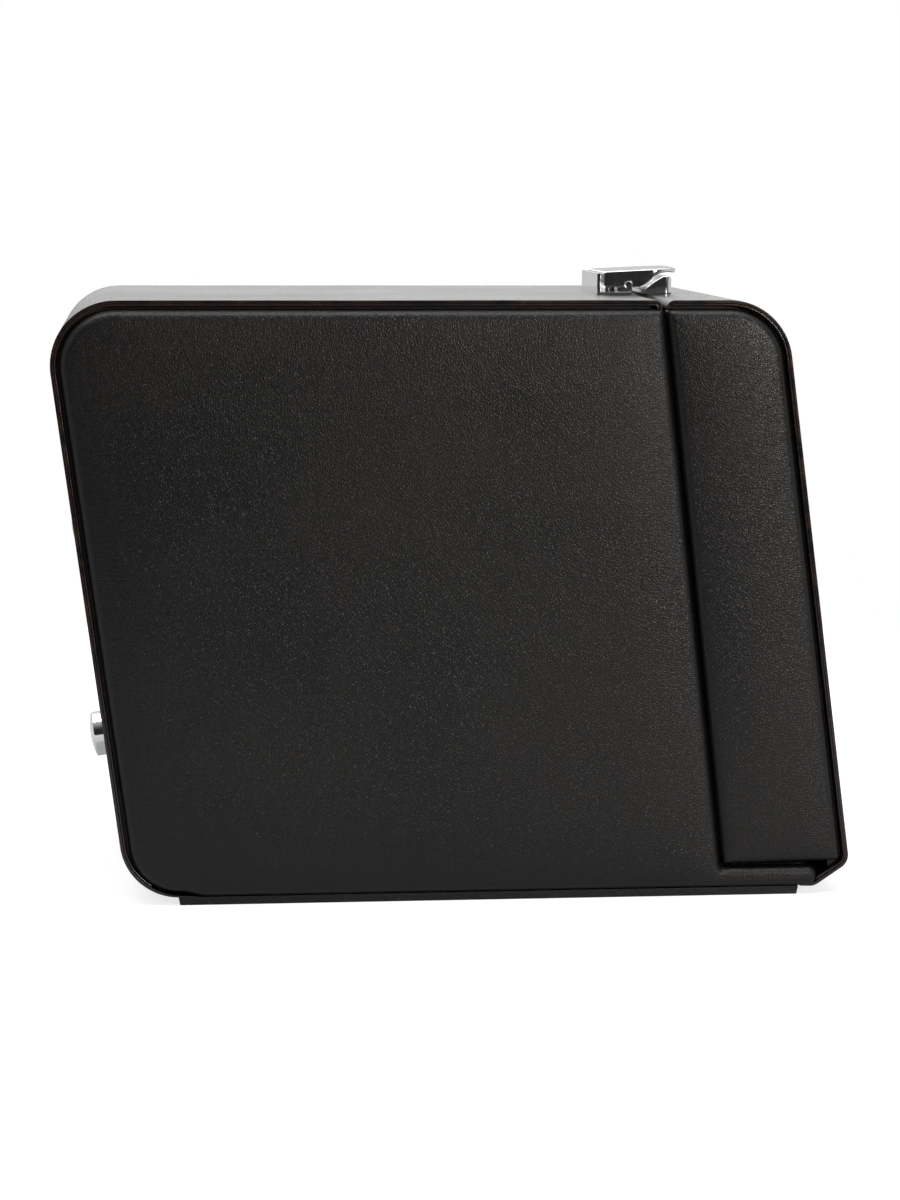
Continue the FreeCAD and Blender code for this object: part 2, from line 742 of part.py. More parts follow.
def make_lid_frame():
    inset = S["leather"]
    bottom = S["lid_panel_bottom"]
    corner = toe_corner_x(inset)
    start = f"{S['toe_start']} + 2"
    width = (f"-{PANEL_INSIDE}", PANEL_INSIDE)
    wide = (f"-{PANEL_INSIDE} - 1", f"{PANEL_INSIDE} + 1")
    outline = [
        (start, toe_z(start, inset)),
        (corner, toe_z(corner, inset)),
        (right_x(top_z(inset), inset), top_z(inset)),
        (lid_split_x(top_z(inset), "1.9"), top_z(inset)),
        (lid_split_x(bottom, "1.9"), bottom),
    ]
    outer = prism("lid_frame_outside", outline, width, lid_rounds(inset) + [(3, f"{S['split_edge_radius']} - 1.5")])
    inner_outline = [
        (right_x("0", SHELL), "0"),
        (right_x(top_z(SHELL), SHELL), top_z(SHELL)),
        ("20", top_z(SHELL)),
        ("20", "0"),
    ]
    inner = prism("lid_frame_inside", inner_outline, wide, [(1, f"{S['lid_top_radius']} - {SHELL}")])
    return cut("lid_frame", outer, inner)


def make_lid_panel(name, sign):
    inset = f"{S['leather']} + {S['panel_gap']}"
    low = S["lid_panel_bottom"]
    rise = "0.8"
    outline = [
        (lid_split_x(low), low),
        (right_x(f"{low} + {rise}", inset), f"{low} + {rise}"),
        (right_x(top_z(inset), inset), top_z(inset)),
        (lid_split_x(top_z(inset)), top_z(inset)),
    ]
    return prism(name, outline, span_y(sign, PANEL_INSIDE, f"{HALF_DEPTH} - {S['panel_inset']}"),
                 [(2, f"{S['lid_top_radius']} - ({inset})"), (1, "1.5")])


def make_lid_side_board(name, sign):
    low = f"{S['lid_panel_bottom']} + 0.6"
    outline = [
        (lid_split_x(low, "0.5"), low),
        (right_x(low, SHELL), low),
        (right_x(top_z(SHELL), SHELL), top_z(SHELL)),
        (lid_split_x(top_z(SHELL), "0.5"), top_z(SHELL)),
    ]
    return prism(name, outline, span_y(sign, BOARD_INSIDE, PANEL_INSIDE),
                 [(2, f"{S['lid_top_radius']} - {SHELL}")])


def make_lid_lining():
    """Suede glued to the inside of the lid's right wall."""
    low, high = "16", f"{top_z(SHELL)} - 18"
    outline = [(right_x(low, f"{SHELL} + 0.6"), low), (right_x(low, SHELL), low),
               (right_x(high, SHELL), high), (right_x(high, f"{SHELL} + 0.6"), high)]
    return prism("lid_lining", outline, (f"-{BOARD_INSIDE} + 0.2", f"{BOARD_INSIDE} - 0.2"))


def make_hinge_leather():
    """Strip of leather rebated under the tongue; it bends between the tongue and the lid's toe."""
    low = S["base_thickness"]
    return box("hinge_leather", (f"{split_x('0')} + 0.2", f"{S['toe_start']} - 0.3"),
               (f"-{PANEL_INSIDE} + 1", f"{PANEL_INSIDE} - 1"), (low, f"{low} + {S['hinge_leather']} - 0.02"))


# ---------------------------------------------------------------- latch on the top


def curved_section(edges, half_width):
    wire = Part.Wire(edges)
    face = Part.Face(wire)
    return face.extrude(FreeCAD.Vector(0, 2 * half_width, 0))


def plan_mask(left, right, half_width, corner):
    """A tall block whose two right-hand corners are rounded as seen from above."""
    block = Part.makeBox(right - left, 2 * half_width, 30, FreeCAD.Vector(left, -half_width, number("case_height") - 5))
    uprights = [edge for edge in block.Edges
                if all(abs(v.X - right) < 1e-6 for v in edge.Vertexes)
                and abs(edge.Vertexes[0].Y - edge.Vertexes[1].Y) < 1e-6]
    return block.makeFillet(corner, uprights)


def y_hole(x, z, radius, half_width):
    return Part.makeCylinder(radius, 2 * half_width, FreeCAD.Vector(x, -half_width, z), FreeCAD.Vector(0, 1, 0))


LATCH_PLATE = 0.8
LUG_HALF = 3.0
LUG_PLACES = (-10.0, 10.0)
SCREW_HEAD = 2.3
SPRING_WELL = 2.0


def latch_screw_places():
    return [(number("tail_fittings"), y) for y in (-15.5, 15.5)]


def make_latch_base():
    """Plate on the body's top with a back block and two lugs that carry the pivot pin."""
    top = number("case_height")
    half = number("latch_half_width")
    left, right = number("latch_left"), number("split_top") - 1.6
    plate = Part.makeBox(right - left, 2 * half, LATCH_PLATE, FreeCAD.Vector(left, -half, top))
    block = Part.makeBox(number("lever_left") - 1.1 - left, 2 * half, number("lever_top") - 0.6 - top,
                         FreeCAD.Vector(left, -half, top))
    base = plate.fuse(block)
    for place in LUG_PLACES:
        lug = Part.makeBox(4.4, 2 * LUG_HALF, number("pin_z") + 1.9 - top,
                           FreeCAD.Vector(number("pin_x") - 2.2, place - LUG_HALF, top))
        base = base.fuse(lug)
    base = base.cut(y_hole(number("pin_x"), number("pin_z"), number("pin_radius"), half + 1))
    for x, y in latch_screw_places():
        base = base.cut(Part.makeCylinder(SCREW_HEAD + 0.05, 3, FreeCAD.Vector(x, y, top - 1)))
    return coded("latch_base", base.removeSplitter())


def lever_section():
    """Side view of the lever: flat top, rounded tail, underside that sweeps up into the lip."""
    left, tip, top = number("lever_left"), number("lever_tip"), number("lever_top")
    low = number("lever_low")
    v = FreeCAD.Vector
    y = -number("latch_half_width")
    tail_low, tail_high = v(left + 1.2, y, low), v(left, y, low + 1.2)
    head_low, head_high = v(left, y, top - 1.0), v(left + 1.0, y, top)
    tip_top, tip_end, tip_low = v(tip - 1.4, y, top + 1.2), v(tip, y, top + 0.5), v(tip - 2.0, y, top - 0.4)
    throat = v(62.8, y, 211.2)
    heel = v(57.6, y, low)
    return [
        Part.LineSegment(tail_low, heel).toShape(),
        Part.Arc(heel, v(60.4, y, 208.9), throat).toShape(),
        Part.Arc(throat, v(65.2, y, 212.3), tip_low).toShape(),
        Part.Arc(tip_low, v(tip - 0.5, y, top - 0.2), tip_end).toShape(),
        Part.Arc(tip_end, v(tip - 0.5, y, top + 1.1), tip_top).toShape(),
        Part.LineSegment(tip_top, head_high).toShape(),
        Part.Arc(head_high, v(left + 0.3, y, top - 0.3), head_low).toShape(),
        Part.LineSegment(head_low, tail_high).toShape(),
        Part.Arc(tail_high, v(left + 0.35, y, low + 0.35), tail_low).toShape(),
    ]


def make_lever():
    """Rocking lever: press the tail down and the lip lifts off the keeper."""
    half = number("latch_half_width")
    lever = curved_section(lever_section(), half)
    lever = lever.common(plan_mask(number("lever_left") - 1, number("lever_tip"), half, number("lip_corner")))
    below = number("lever_low") - 0.6
    for place in LUG_PLACES:
        slot = Part.makeBox(7.0, 2 * LUG_HALF + 0.6, 4.3,
                            FreeCAD.Vector(number("pin_x") - 3.5, place - LUG_HALF - 0.3, below))
        lever = lever.cut(slot)
    well = Part.makeCylinder(2.0, SPRING_WELL + 0.6, FreeCAD.Vector(number("tail_fittings"), 0, below))
    lever = lever.cut(well)
    hole = y_hole(number("pin_x"), number("pin_z"), number("pin_radius") + number("pin_play"), half + 1)
    return coded("latch_lever", lever.cut(hole).removeSplitter())


def make_pin():
    return coded("latch_pin", y_hole(number("pin_x"), number("pin_z"), number("pin_radius"),
                                     number("latch_half_width") - 0.1))


def make_spring():
    """Small compression spring under the lever's tail, drawn at its outer size."""
    foot = FreeCAD.Vector(number("tail_fittings"), 0, number("case_height") + LATCH_PLATE)
    length = number("lever_low") + SPRING_WELL - 0.1 - foot.z
    return coded("latch_spring", Part.makeCylinder(1.7, length, foot).cut(Part.makeCylinder(1.1, length, foot)))


def make_keeper():
    """Block on the lid's top that the lever's lip hooks over, with a plate screwed to the lid."""
    top = number("case_height")
    half = number("latch_half_width")
    left = number("split_top") + number("split_gap") + 1.0
    right, high = number("keeper_right"), number("keeper_top")
    v = FreeCAD.Vector
    y = -half
    edges = [
        Part.LineSegment(v(left, y, top), v(right, y, top)).toShape(),
        Part.LineSegment(v(right, y, top), v(right, y, high - 1.5)).toShape(),
        Part.Arc(v(right, y, high - 1.5), v(right - 0.5, y, high - 0.4), v(right - 1.7, y, high)).toShape(),
        Part.LineSegment(v(right - 1.7, y, high), v(right - 3.2, y, high)).toShape(),
        Part.Arc(v(right - 3.2, y, high), v(61.6, y, 208.6), v(left, y, top + 1.6)).toShape(),
        Part.LineSegment(v(left, y, top + 1.6), v(left, y, top)).toShape(),
    ]
    keeper = curved_section(edges, half)
    keeper = keeper.common(plan_mask(left - 1, right, half, number("keeper_corner")))
    for place in LUG_PLACES:
        keeper = keeper.cut(Part.makeCylinder(1.05, 5.0, v(number("keeper_screw_x"), place, top - 0.5)))
    return coded("latch_keeper", keeper)


def make_keeper_screws():
    """Screws up through the lid's top wall into the keeper."""
    top = number("case_height")
    wall = number("leather") + number("frame_wall")
    x = number("keeper_screw_x")
    screws = []
    for place in LUG_PLACES:
        head = Part.makeCylinder(2.4, 1.4, FreeCAD.Vector(x, place, top - wall - 1.4))
        shank = Part.makeCylinder(1.0, wall + 4.0, FreeCAD.Vector(x, place, top - wall))
        screws.append(head.fuse(shank))
    return coded("keeper_screws", Part.makeCompound(screws))


def make_latch_screws():
    top = number("case_height")
    screws = []
    for x, y in latch_screw_places():
        head = Part.makeCylinder(SCREW_HEAD, LATCH_PLATE, FreeCAD.Vector(x, y, top))
        shank = Part.makeCylinder(1.25, 6.0, FreeCAD.Vector(x, y, top - 6.0))
        screws.append(head.fuse(shank))
    return coded("latch_screws", Part.makeCompound(screws))


def screw_holes(name, places, radius, low, high):
    """Clearance cylinders for screws that run vertically."""
    return [coded(f"{name}_{i}", Part.makeCylinder(radius, high - low, FreeCAD.Vector(x, y, low)))
            for i, (x, y) in enumerate(places)]


# ---------------------------------------------------------------- assembly

top = number("case_height")
latch_places = latch_screw_places()
keeper_places = [(number("keeper_screw_x"), y) for y in LUG_PLACES]
base_places = base_screw_places()

latch_holes = (latch_places, 1.3, top - 8, top + 1)
keeper_holes = (keeper_places, 1.05, top - 9, top + 1)
keep(cut("band_drilled", make_band(), *screw_holes("band_hole", *latch_holes)), "main_band_leather")
keep(cut("frame_drilled", make_frame(), *screw_holes("frame_hole", *latch_holes)), "main_frame")
both_sides("side_panel", make_side_panel)
both_sides("side_board", make_side_board)
keep(cut("bottom_drilled", make_bottom_board(), *screw_holes("bottom_hole", base_places, 1.55, 2.0, 6.6)),
     "bottom_board")
keep(make_sill_cover(), "sill_cover")
keep(cut("base_drilled", make_base_plate(), *screw_holes("base_hole", base_places, 3.1, -1.0, 3.6)), "base_plate")
keep(make_base_screws(), "base_screws")
keep(make_hinge_leather(), "hinge_leather")
keep(make_partition(), "partition")
lower_shelf_bottom = f"{S['lower_opening_bottom']} - {S['shelf']}"
keep(make_shelf("lower_shelf", lower_shelf_bottom, S["lower_opening_bottom"]), "lower_shelf")
keep(make_shelf("middle_shelf", S["lower_opening_top"], S["upper_opening_bottom"]), "middle_shelf")
keep(make_shelf("top_shelf", S["upper_opening_top"], f"{S['upper_opening_top']} + {S['shelf']}"), "top_shelf")
keep(make_bearers(), "shelf_bearers")
both_sides("drawer_guides", make_guides)
keep(make_rack(), "chip_rack")
for rack_row in range(int(number("rack_rows"))):
    keep(make_rack_chips(rack_row), f"rack_chips_row_{rack_row + 1}")

for which, drawer in DRAWERS.items():
    pull_height = number(drawer["height"])
    hole = number("shank_radius") + 0.02
    skin = front_layer(f"{which}_front_skin", which, "0", S["leather"])
    board = front_layer(f"{which}_front_core", which, S["leather"], SHELL)
    keep(cut(f"{which}_skin_drilled", skin, pull_hole(f"{which}_skin_hole", pull_height, hole)),
         f"{which}_drawer_leather")
    keep(cut(f"{which}_board_drilled", board, pull_hole(f"{which}_board_hole", pull_height, hole)),
         f"{which}_drawer_front")
    keep(cut(f"{which}_box_drilled", make_drawer_box(which), pull_hole(f"{which}_box_hole", pull_height, 1.2)),
         f"{which}_drawer_box")
    pull = drawer["pull"]
    keep(domed_pull(f"{which}_drawer_{pull}", pull_height, number(f"{pull}_radius"), number(f"{pull}_side"),
                    number(f"{pull}_dome")), f"{which}_drawer_{pull}")
    keep(pull_screw(f"{which}_drawer_screw", pull_height), f"{which}_drawer_screw")
keep(make_chip_tray(), "drawer_chip_tray")
for tray_row in range(3):
    keep(make_drawer_chips(tray_row), f"drawer_chips_row_{tray_row + 1}")
keep(make_insert(), "accessory_insert")
keep(make_decks(), "card_decks")
keep(make_dice(), "dice")
keep(make_dealer_button(), "dealer_button")

keep(cut("lid_band_drilled", make_lid_band(), *screw_holes("lid_band_hole", *keeper_holes)), "lid_band_leather")
keep(cut("lid_frame_drilled", make_lid_frame(), *screw_holes("lid_frame_hole", *keeper_holes)), "lid_frame")
both_sides("lid_panel", make_lid_panel)
both_sides("lid_side_board", make_lid_side_board)
keep(make_lid_lining(), "lid_lining")

keep(make_latch_base(), "latch_base")
keep(make_lever(), "latch_lever")
keep(make_pin(), "latch_pin")
keep(make_spring(), "latch_spring")
keep(make_latch_screws(), "latch_screws")
keep(make_keeper(), "latch_keeper")
keep(make_keeper_screws(), "keeper_screws")

DOC.recompute()

for item in DOC.Objects:
    if "Invalid" in item.State or "Error" in item.State:
        raise RuntimeError(f"{item.Label} failed: {item.State}")
for piece in sub_parts:
    if piece.Shape.isNull() or not piece.Shape.isValid() or not piece.Shape.Solids:
        raise RuntimeError(f"{piece.Label} has no valid solid")

os.makedirs("parts", exist_ok=True)
for piece in sub_parts:
    piece.Shape.exportStep(f"parts/{piece.Label}.step")
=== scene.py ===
import math
import random

import bmesh
import bpy
import numpy as np
from mathutils import Matrix, Vector, geometry, noise


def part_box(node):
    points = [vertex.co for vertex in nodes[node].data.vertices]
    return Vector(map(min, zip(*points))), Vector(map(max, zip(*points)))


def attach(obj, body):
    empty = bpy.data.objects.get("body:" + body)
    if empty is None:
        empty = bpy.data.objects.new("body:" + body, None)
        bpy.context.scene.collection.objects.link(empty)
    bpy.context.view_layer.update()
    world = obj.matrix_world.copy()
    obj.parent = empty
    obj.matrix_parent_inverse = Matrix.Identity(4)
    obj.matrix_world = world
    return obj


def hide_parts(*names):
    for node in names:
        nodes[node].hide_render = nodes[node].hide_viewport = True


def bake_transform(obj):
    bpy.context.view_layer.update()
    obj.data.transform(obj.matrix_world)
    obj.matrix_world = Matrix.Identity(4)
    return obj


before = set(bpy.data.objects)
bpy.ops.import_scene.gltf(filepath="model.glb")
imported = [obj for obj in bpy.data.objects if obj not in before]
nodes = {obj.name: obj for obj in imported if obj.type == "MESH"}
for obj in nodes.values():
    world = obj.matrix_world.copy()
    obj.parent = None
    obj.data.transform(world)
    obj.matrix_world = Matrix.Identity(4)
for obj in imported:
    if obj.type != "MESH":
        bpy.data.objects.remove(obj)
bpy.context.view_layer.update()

# Poker chip case in black leather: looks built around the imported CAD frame. Metres, +X towards the
# lid, +Y to the far side, +Z up, origin under the middle of the base plate.

MM = 0.001

# ------------------------------------------------------------------ sizes read from the frame

band_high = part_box("main_band_leather")[1]
panel_low, panel_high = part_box("near_side_panel")

CASE_TOP = band_high.z
HALF_DEPTH = band_high.y
PANEL_FACE = -panel_low.y
PANEL_BACK = -panel_high.y
TONGUE_END = panel_high.x
TONGUE_BOTTOM = panel_low.z
TONGUE_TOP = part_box("sill_cover")[1].z
BODY_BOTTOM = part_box("base_plate")[1].z
LID_PANEL_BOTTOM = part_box("near_lid_panel")[0].z

# the leaning sides and the split, as the design has them
SIDE_LEAN = 0.1325
SPLIT_LEAN = 0.1158
BODY_LEFT_TOP = -151.0 * MM
LID_RIGHT_TOP = 99.0 * MM
SPLIT_TOP = 56.6 * MM
SPLIT_GAP = 1.6 * MM
TOP_LEFT_RADIUS = 21.8 * MM
BOTTOM_LEFT_RADIUS = 20.3 * MM
LID_TOP_RADIUS = 22.0 * MM
TOE_RADIUS = 5.0 * MM
TOE_FOOT = (112.1 * MM, 2.7 * MM)
TOE_SLOPE = 0.6465
TOE_STRETCH = math.sqrt(1 + TOE_SLOPE ** 2)
SPLIT_EDGE_RADIUS = 2.4 * MM
TURN_IN = 3.0 * MM
BAND_END = -101.0 * MM
INNER_END_HEIGHT = 6.5 * MM
LEATHER = 1.9 * MM
OUTER_LAYER = 1.05 * MM
INNER_LAYER = 0.8 * MM
LAYER_GAP = 0.03 * MM
INNER_NARROWER = 0.15 * MM
PANEL_GAP = 1.0 * MM
SIDE_STRETCH = math.sqrt(1 + SIDE_LEAN ** 2)


def left_x(z, inset=0.0):
    return BODY_LEFT_TOP + SIDE_LEAN * (CASE_TOP - z) + inset * SIDE_STRETCH


def right_x(z, inset=0.0):
    return LID_RIGHT_TOP + SIDE_LEAN * (CASE_TOP - z) - inset * SIDE_STRETCH


def split_x(z, offset=0.0):
    return SPLIT_TOP + SPLIT_LEAN * (CASE_TOP - z) + offset


def toe_corner():
    """Where the toe's bevel meets the lid's right face."""
    reach = LID_RIGHT_TOP + SIDE_LEAN * (CASE_TOP - TOE_FOOT[1] + TOE_SLOPE * TOE_FOOT[0])
    x = reach / (1 + SIDE_LEAN * TOE_SLOPE)
    return x, TOE_FOOT[1] + TOE_SLOPE * (x - TOE_FOOT[0])


# ------------------------------------------------------------------ outlines in the X-Z plane


def corner_arc(before, here, after, radius, steps):
    """Points of a rounded corner, from its first tangent point to its second."""
    a, b, c = Vector(before), Vector(here), Vector(after)
    d1, d2 = (b - a).normalized(), (c - b).normalized()
    turn = math.atan2(d1.x * d2.y - d1.y * d2.x, d1.dot(d2))
    if radius <= 1e-6 or abs(turn) < 1e-4:
        return [b]
    tangent = radius * math.tan(abs(turn) / 2)
    side = 1 if turn > 0 else -1
    start = b - d1 * tangent
    centre = start + Vector((-d1.y, d1.x)) * radius * side
    first = start - centre
    points = []
    for i in range(steps + 1):
        angle = turn * i / steps
        cos, sin = math.cos(angle), math.sin(angle)
        points.append(centre + Vector((first.x * cos - first.y * sin, first.x * sin + first.y * cos)))
    return points


def divided(points, step, closed, stops=()):
    """Straight stretches longer than step are divided; stops are heights that get a point of their own."""
    result = []
    count = len(points)
    for i in range(count if closed else count - 1):
        a, b = points[i], points[(i + 1) % count]
        parts = max(1, math.ceil((b - a).length / step))
        shares = {j / parts for j in range(parts)}
        if abs(b.y - a.y) > 20 * MM:
            for height in stops:
                share = (height - a.y) / (b.y - a.y)
                if 0 < share < 1:
                    shares = {s for s in shares if s == 0 or abs(s - share) * (b - a).length > 0.7 * MM}
                    shares.add(share)
        result += [a.lerp(b, share) for share in sorted(shares)]
    if not closed:
        result.append(points[-1])
    return result


def outline(corners, step=3 * MM):
    """Closed counter-clockwise outline of (x, z, radius) corners, rounded and divided."""
    count = len(corners)
    points = []
    for i, (x, z, radius) in enumerate(corners):
        steps = max(3, round(radius / (1.2 * MM)))
        points += corner_arc(corners[i - 1][:2], (x, z), corners[(i + 1) % count][:2], radius, steps)
    return divided(points, step, True)


def open_path(corners, step=4 * MM, stops=()):
    """Open path of (x, z, radius) corners; the first and last are ends."""
    points = [Vector(corners[0][:2])]
    for i in range(1, len(corners) - 1):
        x, z, radius = corners[i]
        steps = max(4, round(radius / (1.0 * MM)))
        points += corner_arc(corners[i - 1][:2], (x, z), corners[i + 1][:2], radius, steps)
    points.append(Vector(corners[-1][:2]))
    return divided(points, step, False, stops)


def inset_corners(corners, inset):
    """The corners of a counter-clockwise outline moved inwards."""
    moved = []
    count = len(corners)
    for i, (x, z, radius) in enumerate(corners):
        before, here, after = (Vector(corners[j % count][:2]) for j in (i - 1, i, i + 1))
        d1, d2 = (here - before).normalized(), (after - here).normalized()
        n1, n2 = Vector((-d1.y, d1.x)), Vector((-d2.y, d2.x))
        place = here + (n1 + n2) * (inset / (1 + n1.dot(n2)))
        convex = d1.x * d2.y - d1.y * d2.x > 0
        moved.append((place.x, place.y, max(0.0, radius - inset if convex else radius + inset)))
    return moved


def distances(points, loop):
    """Distance of each 2-D point to a closed loop."""
    p = np.array(points)[:, None, :]
    a = np.array(loop)[None, :, :]
    b = np.roll(a, -1, axis=1)
    ab = b - a
    share = np.clip(((p - a) * ab).sum(2) / np.maximum((ab ** 2).sum(2), 1e-18), 0, 1)
    return np.sqrt((((a + ab * share[..., None]) - p) ** 2).sum(2)).min(1)


# ------------------------------------------------------------------ mesh helpers


def new_piece(name, verts, faces, materials, body, replaced, smooth=True):
    """A mesh piece that rides on a body and stands for CAD nodes."""
    mesh = bpy.data.meshes.new(name)
    mesh.from_pydata([tuple(v) for v in verts], [], faces)
    mesh.validate()
    for material in materials:
        mesh.materials.append(material)
    for polygon in mesh.polygons:
        polygon.use_smooth = smooth
    piece = bpy.data.objects.new(name, mesh)
    bpy.context.scene.collection.objects.link(piece)
    mend_normals(piece)
    if replaced:
        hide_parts(*replaced)
    if body:
        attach(piece, body)
    return piece


def mend_normals(piece, merge=True):
    """Faces turned outwards, and points in the same place merged."""
    bm = bmesh.new()
    bm.from_mesh(piece.data)
    if merge:
        bmesh.ops.remove_doubles(bm, verts=bm.verts, dist=1e-6)
    bmesh.ops.recalc_face_normals(bm, faces=bm.faces)
    bm.to_mesh(piece.data)
    bm.free()


def add_bevel(piece, width, segments=2, angle=35.0, clamp=True):
    """Rounds the edges that turn by more than angle degrees."""
    bevel = piece.modifiers.new("edge_rounding", "BEVEL")
    bevel.width = width
    bevel.segments = segments
    bevel.limit_method = "ANGLE"
    bevel.angle_limit = math.radians(angle)
    bevel.use_clamp_overlap = clamp
    piece.modifiers.new("even_shading", "WEIGHTED_NORMAL")


def finish_cad(names, material, bevel=0.0, segments=2, clamp=True):
    """Better material, and rounded edges, for CAD nodes that stay.

    The CAD mesh is welded, and its flat faces joined, so that the rounding has whole faces to work on."""
    for name in names:
        piece = nodes[name]
        for i in range(len(piece.data.materials)):
            piece.material_slots[i].material = material
        if bevel:
            weld = piece.modifiers.new("weld", "WELD")
            weld.merge_threshold = 2e-6
            flat = piece.modifiers.new("flat_faces", "DECIMATE")
            flat.decimate_type = "DISSOLVE"
            flat.angle_limit = math.radians(0.5)
            add_bevel(piece, bevel, segments, clamp=clamp)


def smooth_noise(x, y, z, size):
    return noise.noise(Vector((x, y, z)) / size)


# ------------------------------------------------------------------ materials


def shader(name):
    """A new node material: (material, tree, principled shader)."""
    material = bpy.data.materials.new(name)
    material.use_nodes = True
    tree = material.node_tree
    return material, tree, tree.nodes["Principled BSDF"]


def add_node(tree, kind, links=(), **settings):
    """A node with its properties and inputs set; links are (input, output socket) pairs."""
    node = tree.nodes.new(kind)
    for key, value in settings.items():
        setattr(node, key, value)
    for target, source in links:
        if isinstance(source, (int, float, tuple)):
            node.inputs[target].default_value = source
        else:
            tree.links.new(source, node.inputs[target])
    return node


def object_coords(tree):
    return add_node(tree, "ShaderNodeTexCoord").outputs["Object"]


def noise_out(tree, coords, scale, detail=2.0, rough=0.5, distortion=0.0):
    node = add_node(tree, "ShaderNodeTexNoise", [("Vector", coords), ("Scale", scale), ("Detail", detail),
                                                 ("Roughness", rough), ("Distortion", distortion)])
    return node.outputs["Fac"]


def spread(tree, value, low, high, to_low, to_high, kind="LINEAR"):
    """A value's range from low to high, mapped to the range from to_low to to_high."""
    links = [("Value", value), ("From Min", low), ("From Max", high), ("To Min", to_low), ("To Max", to_high)]
    node = add_node(tree, "ShaderNodeMapRange", links, interpolation_type=kind)
    return node.outputs["Result"]


def blended(tree, factor, first, second):
    """Colours mixed by factor; a Mix node's sockets 6 and 7, and its output 2, are the colour ones."""
    node = add_node(tree, "ShaderNodeMix", data_type="RGBA")
    tree.links.new(factor, node.inputs["Factor"])
    for index, value in ((6, first), (7, second)):
        if isinstance(value, tuple):
            node.inputs[index].default_value = value
        else:
            tree.links.new(value, node.inputs[index])
    return node.outputs[2]


def maths(tree, operation, a, b=0.0):
    return add_node(tree, "ShaderNodeMath", [(0, a), (1, b)], operation=operation).outputs[0]


def bump(tree, height, distance, strength=1.0):
    links = [("Height", height), ("Distance", distance), ("Strength", strength)]
    return add_node(tree, "ShaderNodeBump", links).outputs["Normal"]


def leather_material(name="black_leather", pebble=0.85 * MM, depth=0.075 * MM, dark=(0.0035, 0.0034, 0.0036, 1),
                     light=(0.0092, 0.0076, 0.0066, 1), rough=(0.27, 0.35)):
    """Smooth calf with a fine irregular pebble grain, small pores and slow changes of tone; painted shade
    darkens the grain's creases.
    """
    material, tree, principled = shader(name)
    coords = object_coords(tree)
    warp = add_node(tree, "ShaderNodeTexNoise", [("Vector", coords), ("Scale", 0.55 / pebble), ("Detail", 2.0)])
    shift = add_node(tree, "ShaderNodeVectorMath", [(0, warp.outputs["Color"]), (1, (0.5, 0.5, 0.5))],
                     operation="SUBTRACT")
    pull = add_node(tree, "ShaderNodeVectorMath", [(0, shift.outputs[0]), ("Scale", pebble * 1.3)],
                    operation="SCALE")
    bent = add_node(tree, "ShaderNodeVectorMath", [(0, coords), (1, pull.outputs[0])], operation="ADD")
    cells = add_node(tree, "ShaderNodeTexVoronoi", [("Vector", bent.outputs[0]), ("Scale", 1 / pebble)],
                     feature="DISTANCE_TO_EDGE")
    creases = spread(tree, cells.outputs["Distance"], 0.0, 0.3, 0.0, 1.0, "SMOOTHSTEP")
    swell = noise_out(tree, coords, 0.35 / pebble, 3.0, 0.6)
    pores = noise_out(tree, coords, 3.2 / pebble, 2.0, 0.6)
    between = maths(tree, "ADD", maths(tree, "MULTIPLY", swell, 0.6), maths(tree, "MULTIPLY", pores, 0.26))
    height = maths(tree, "ADD", maths(tree, "MULTIPLY", creases, 0.62), between)
    tree.links.new(bump(tree, height, depth), principled.inputs["Normal"])
    tone = noise_out(tree, coords, 14.0, 4.0, 0.55)
    mottle = spread(tree, tone, 0.3, 0.7, 0.0, 1.0)
    colour = blended(tree, mottle, dark, light)
    # painted shade: the base colour goes to near-black in the grain's creases, standing in for the shade that
    # falls in them
    painted_crease_shade = blended(tree, spread(tree, creases, 0.0, 0.8, 0.9, 0.0), colour, (0.0008, 0.0008, 0.0009, 1))
    tree.links.new(painted_crease_shade, principled.inputs["Base Color"])
    gloss = maths(tree, "ADD", spread(tree, mottle, 0.0, 1.0, rough[0], rough[1]),
                  spread(tree, creases, 0.0, 1.0, 0.08, 0.0))
    tree.links.new(gloss, principled.inputs["Roughness"])
    principled.inputs["IOR"].default_value = 1.42
    return material


def edge_paint_material():
    """Brown-black burnished paint on cut leather edges."""
    material, tree, principled = shader("edge_paint")
    coords = object_coords(tree)
    tone = spread(tree, noise_out(tree, coords, 160.0, 4.0, 0.6), 0.35, 0.7, 0.0, 1.0)
    tree.links.new(blended(tree, tone, (0.007, 0.005, 0.0045, 1), (0.026, 0.013, 0.009, 1)),
                   principled.inputs["Base Color"])
    tree.links.new(spread(tree, tone, 0.0, 1.0, 0.16, 0.3), principled.inputs["Roughness"])
    tree.links.new(bump(tree, noise_out(tree, coords, 900.0, 3.0), 0.01 * MM), principled.inputs["Normal"])
    return material


def chrome_material(name, colour=(0.86, 0.86, 0.88, 1), rough=0.05):
    """Polished plating with faint polishing marks and a breath of haze."""
    material, tree, principled = shader(name)
    coords = object_coords(tree)
    stretched = add_node(tree, "ShaderNodeVectorMath", [(0, coords), (1, (1.0, 7.0, 1.0))],
                         operation="MULTIPLY").outputs[0]
    marks = noise_out(tree, stretched, 420.0, 4.0, 0.6)
    tree.links.new(spread(tree, marks, 0.3, 0.75, rough, rough + 0.07), principled.inputs["Roughness"])
    tree.links.new(bump(tree, marks, 0.004 * MM), principled.inputs["Normal"])
    tint = spread(tree, noise_out(tree, coords, 90.0, 3.0), 0.3, 0.7, 0.0, 1.0)
    darker = tuple(c * 0.93 for c in colour[:3]) + (1,)
    tree.links.new(blended(tree, tint, colour, darker), principled.inputs["Base Color"])
    principled.inputs["Metallic"].default_value = 1.0
    return material


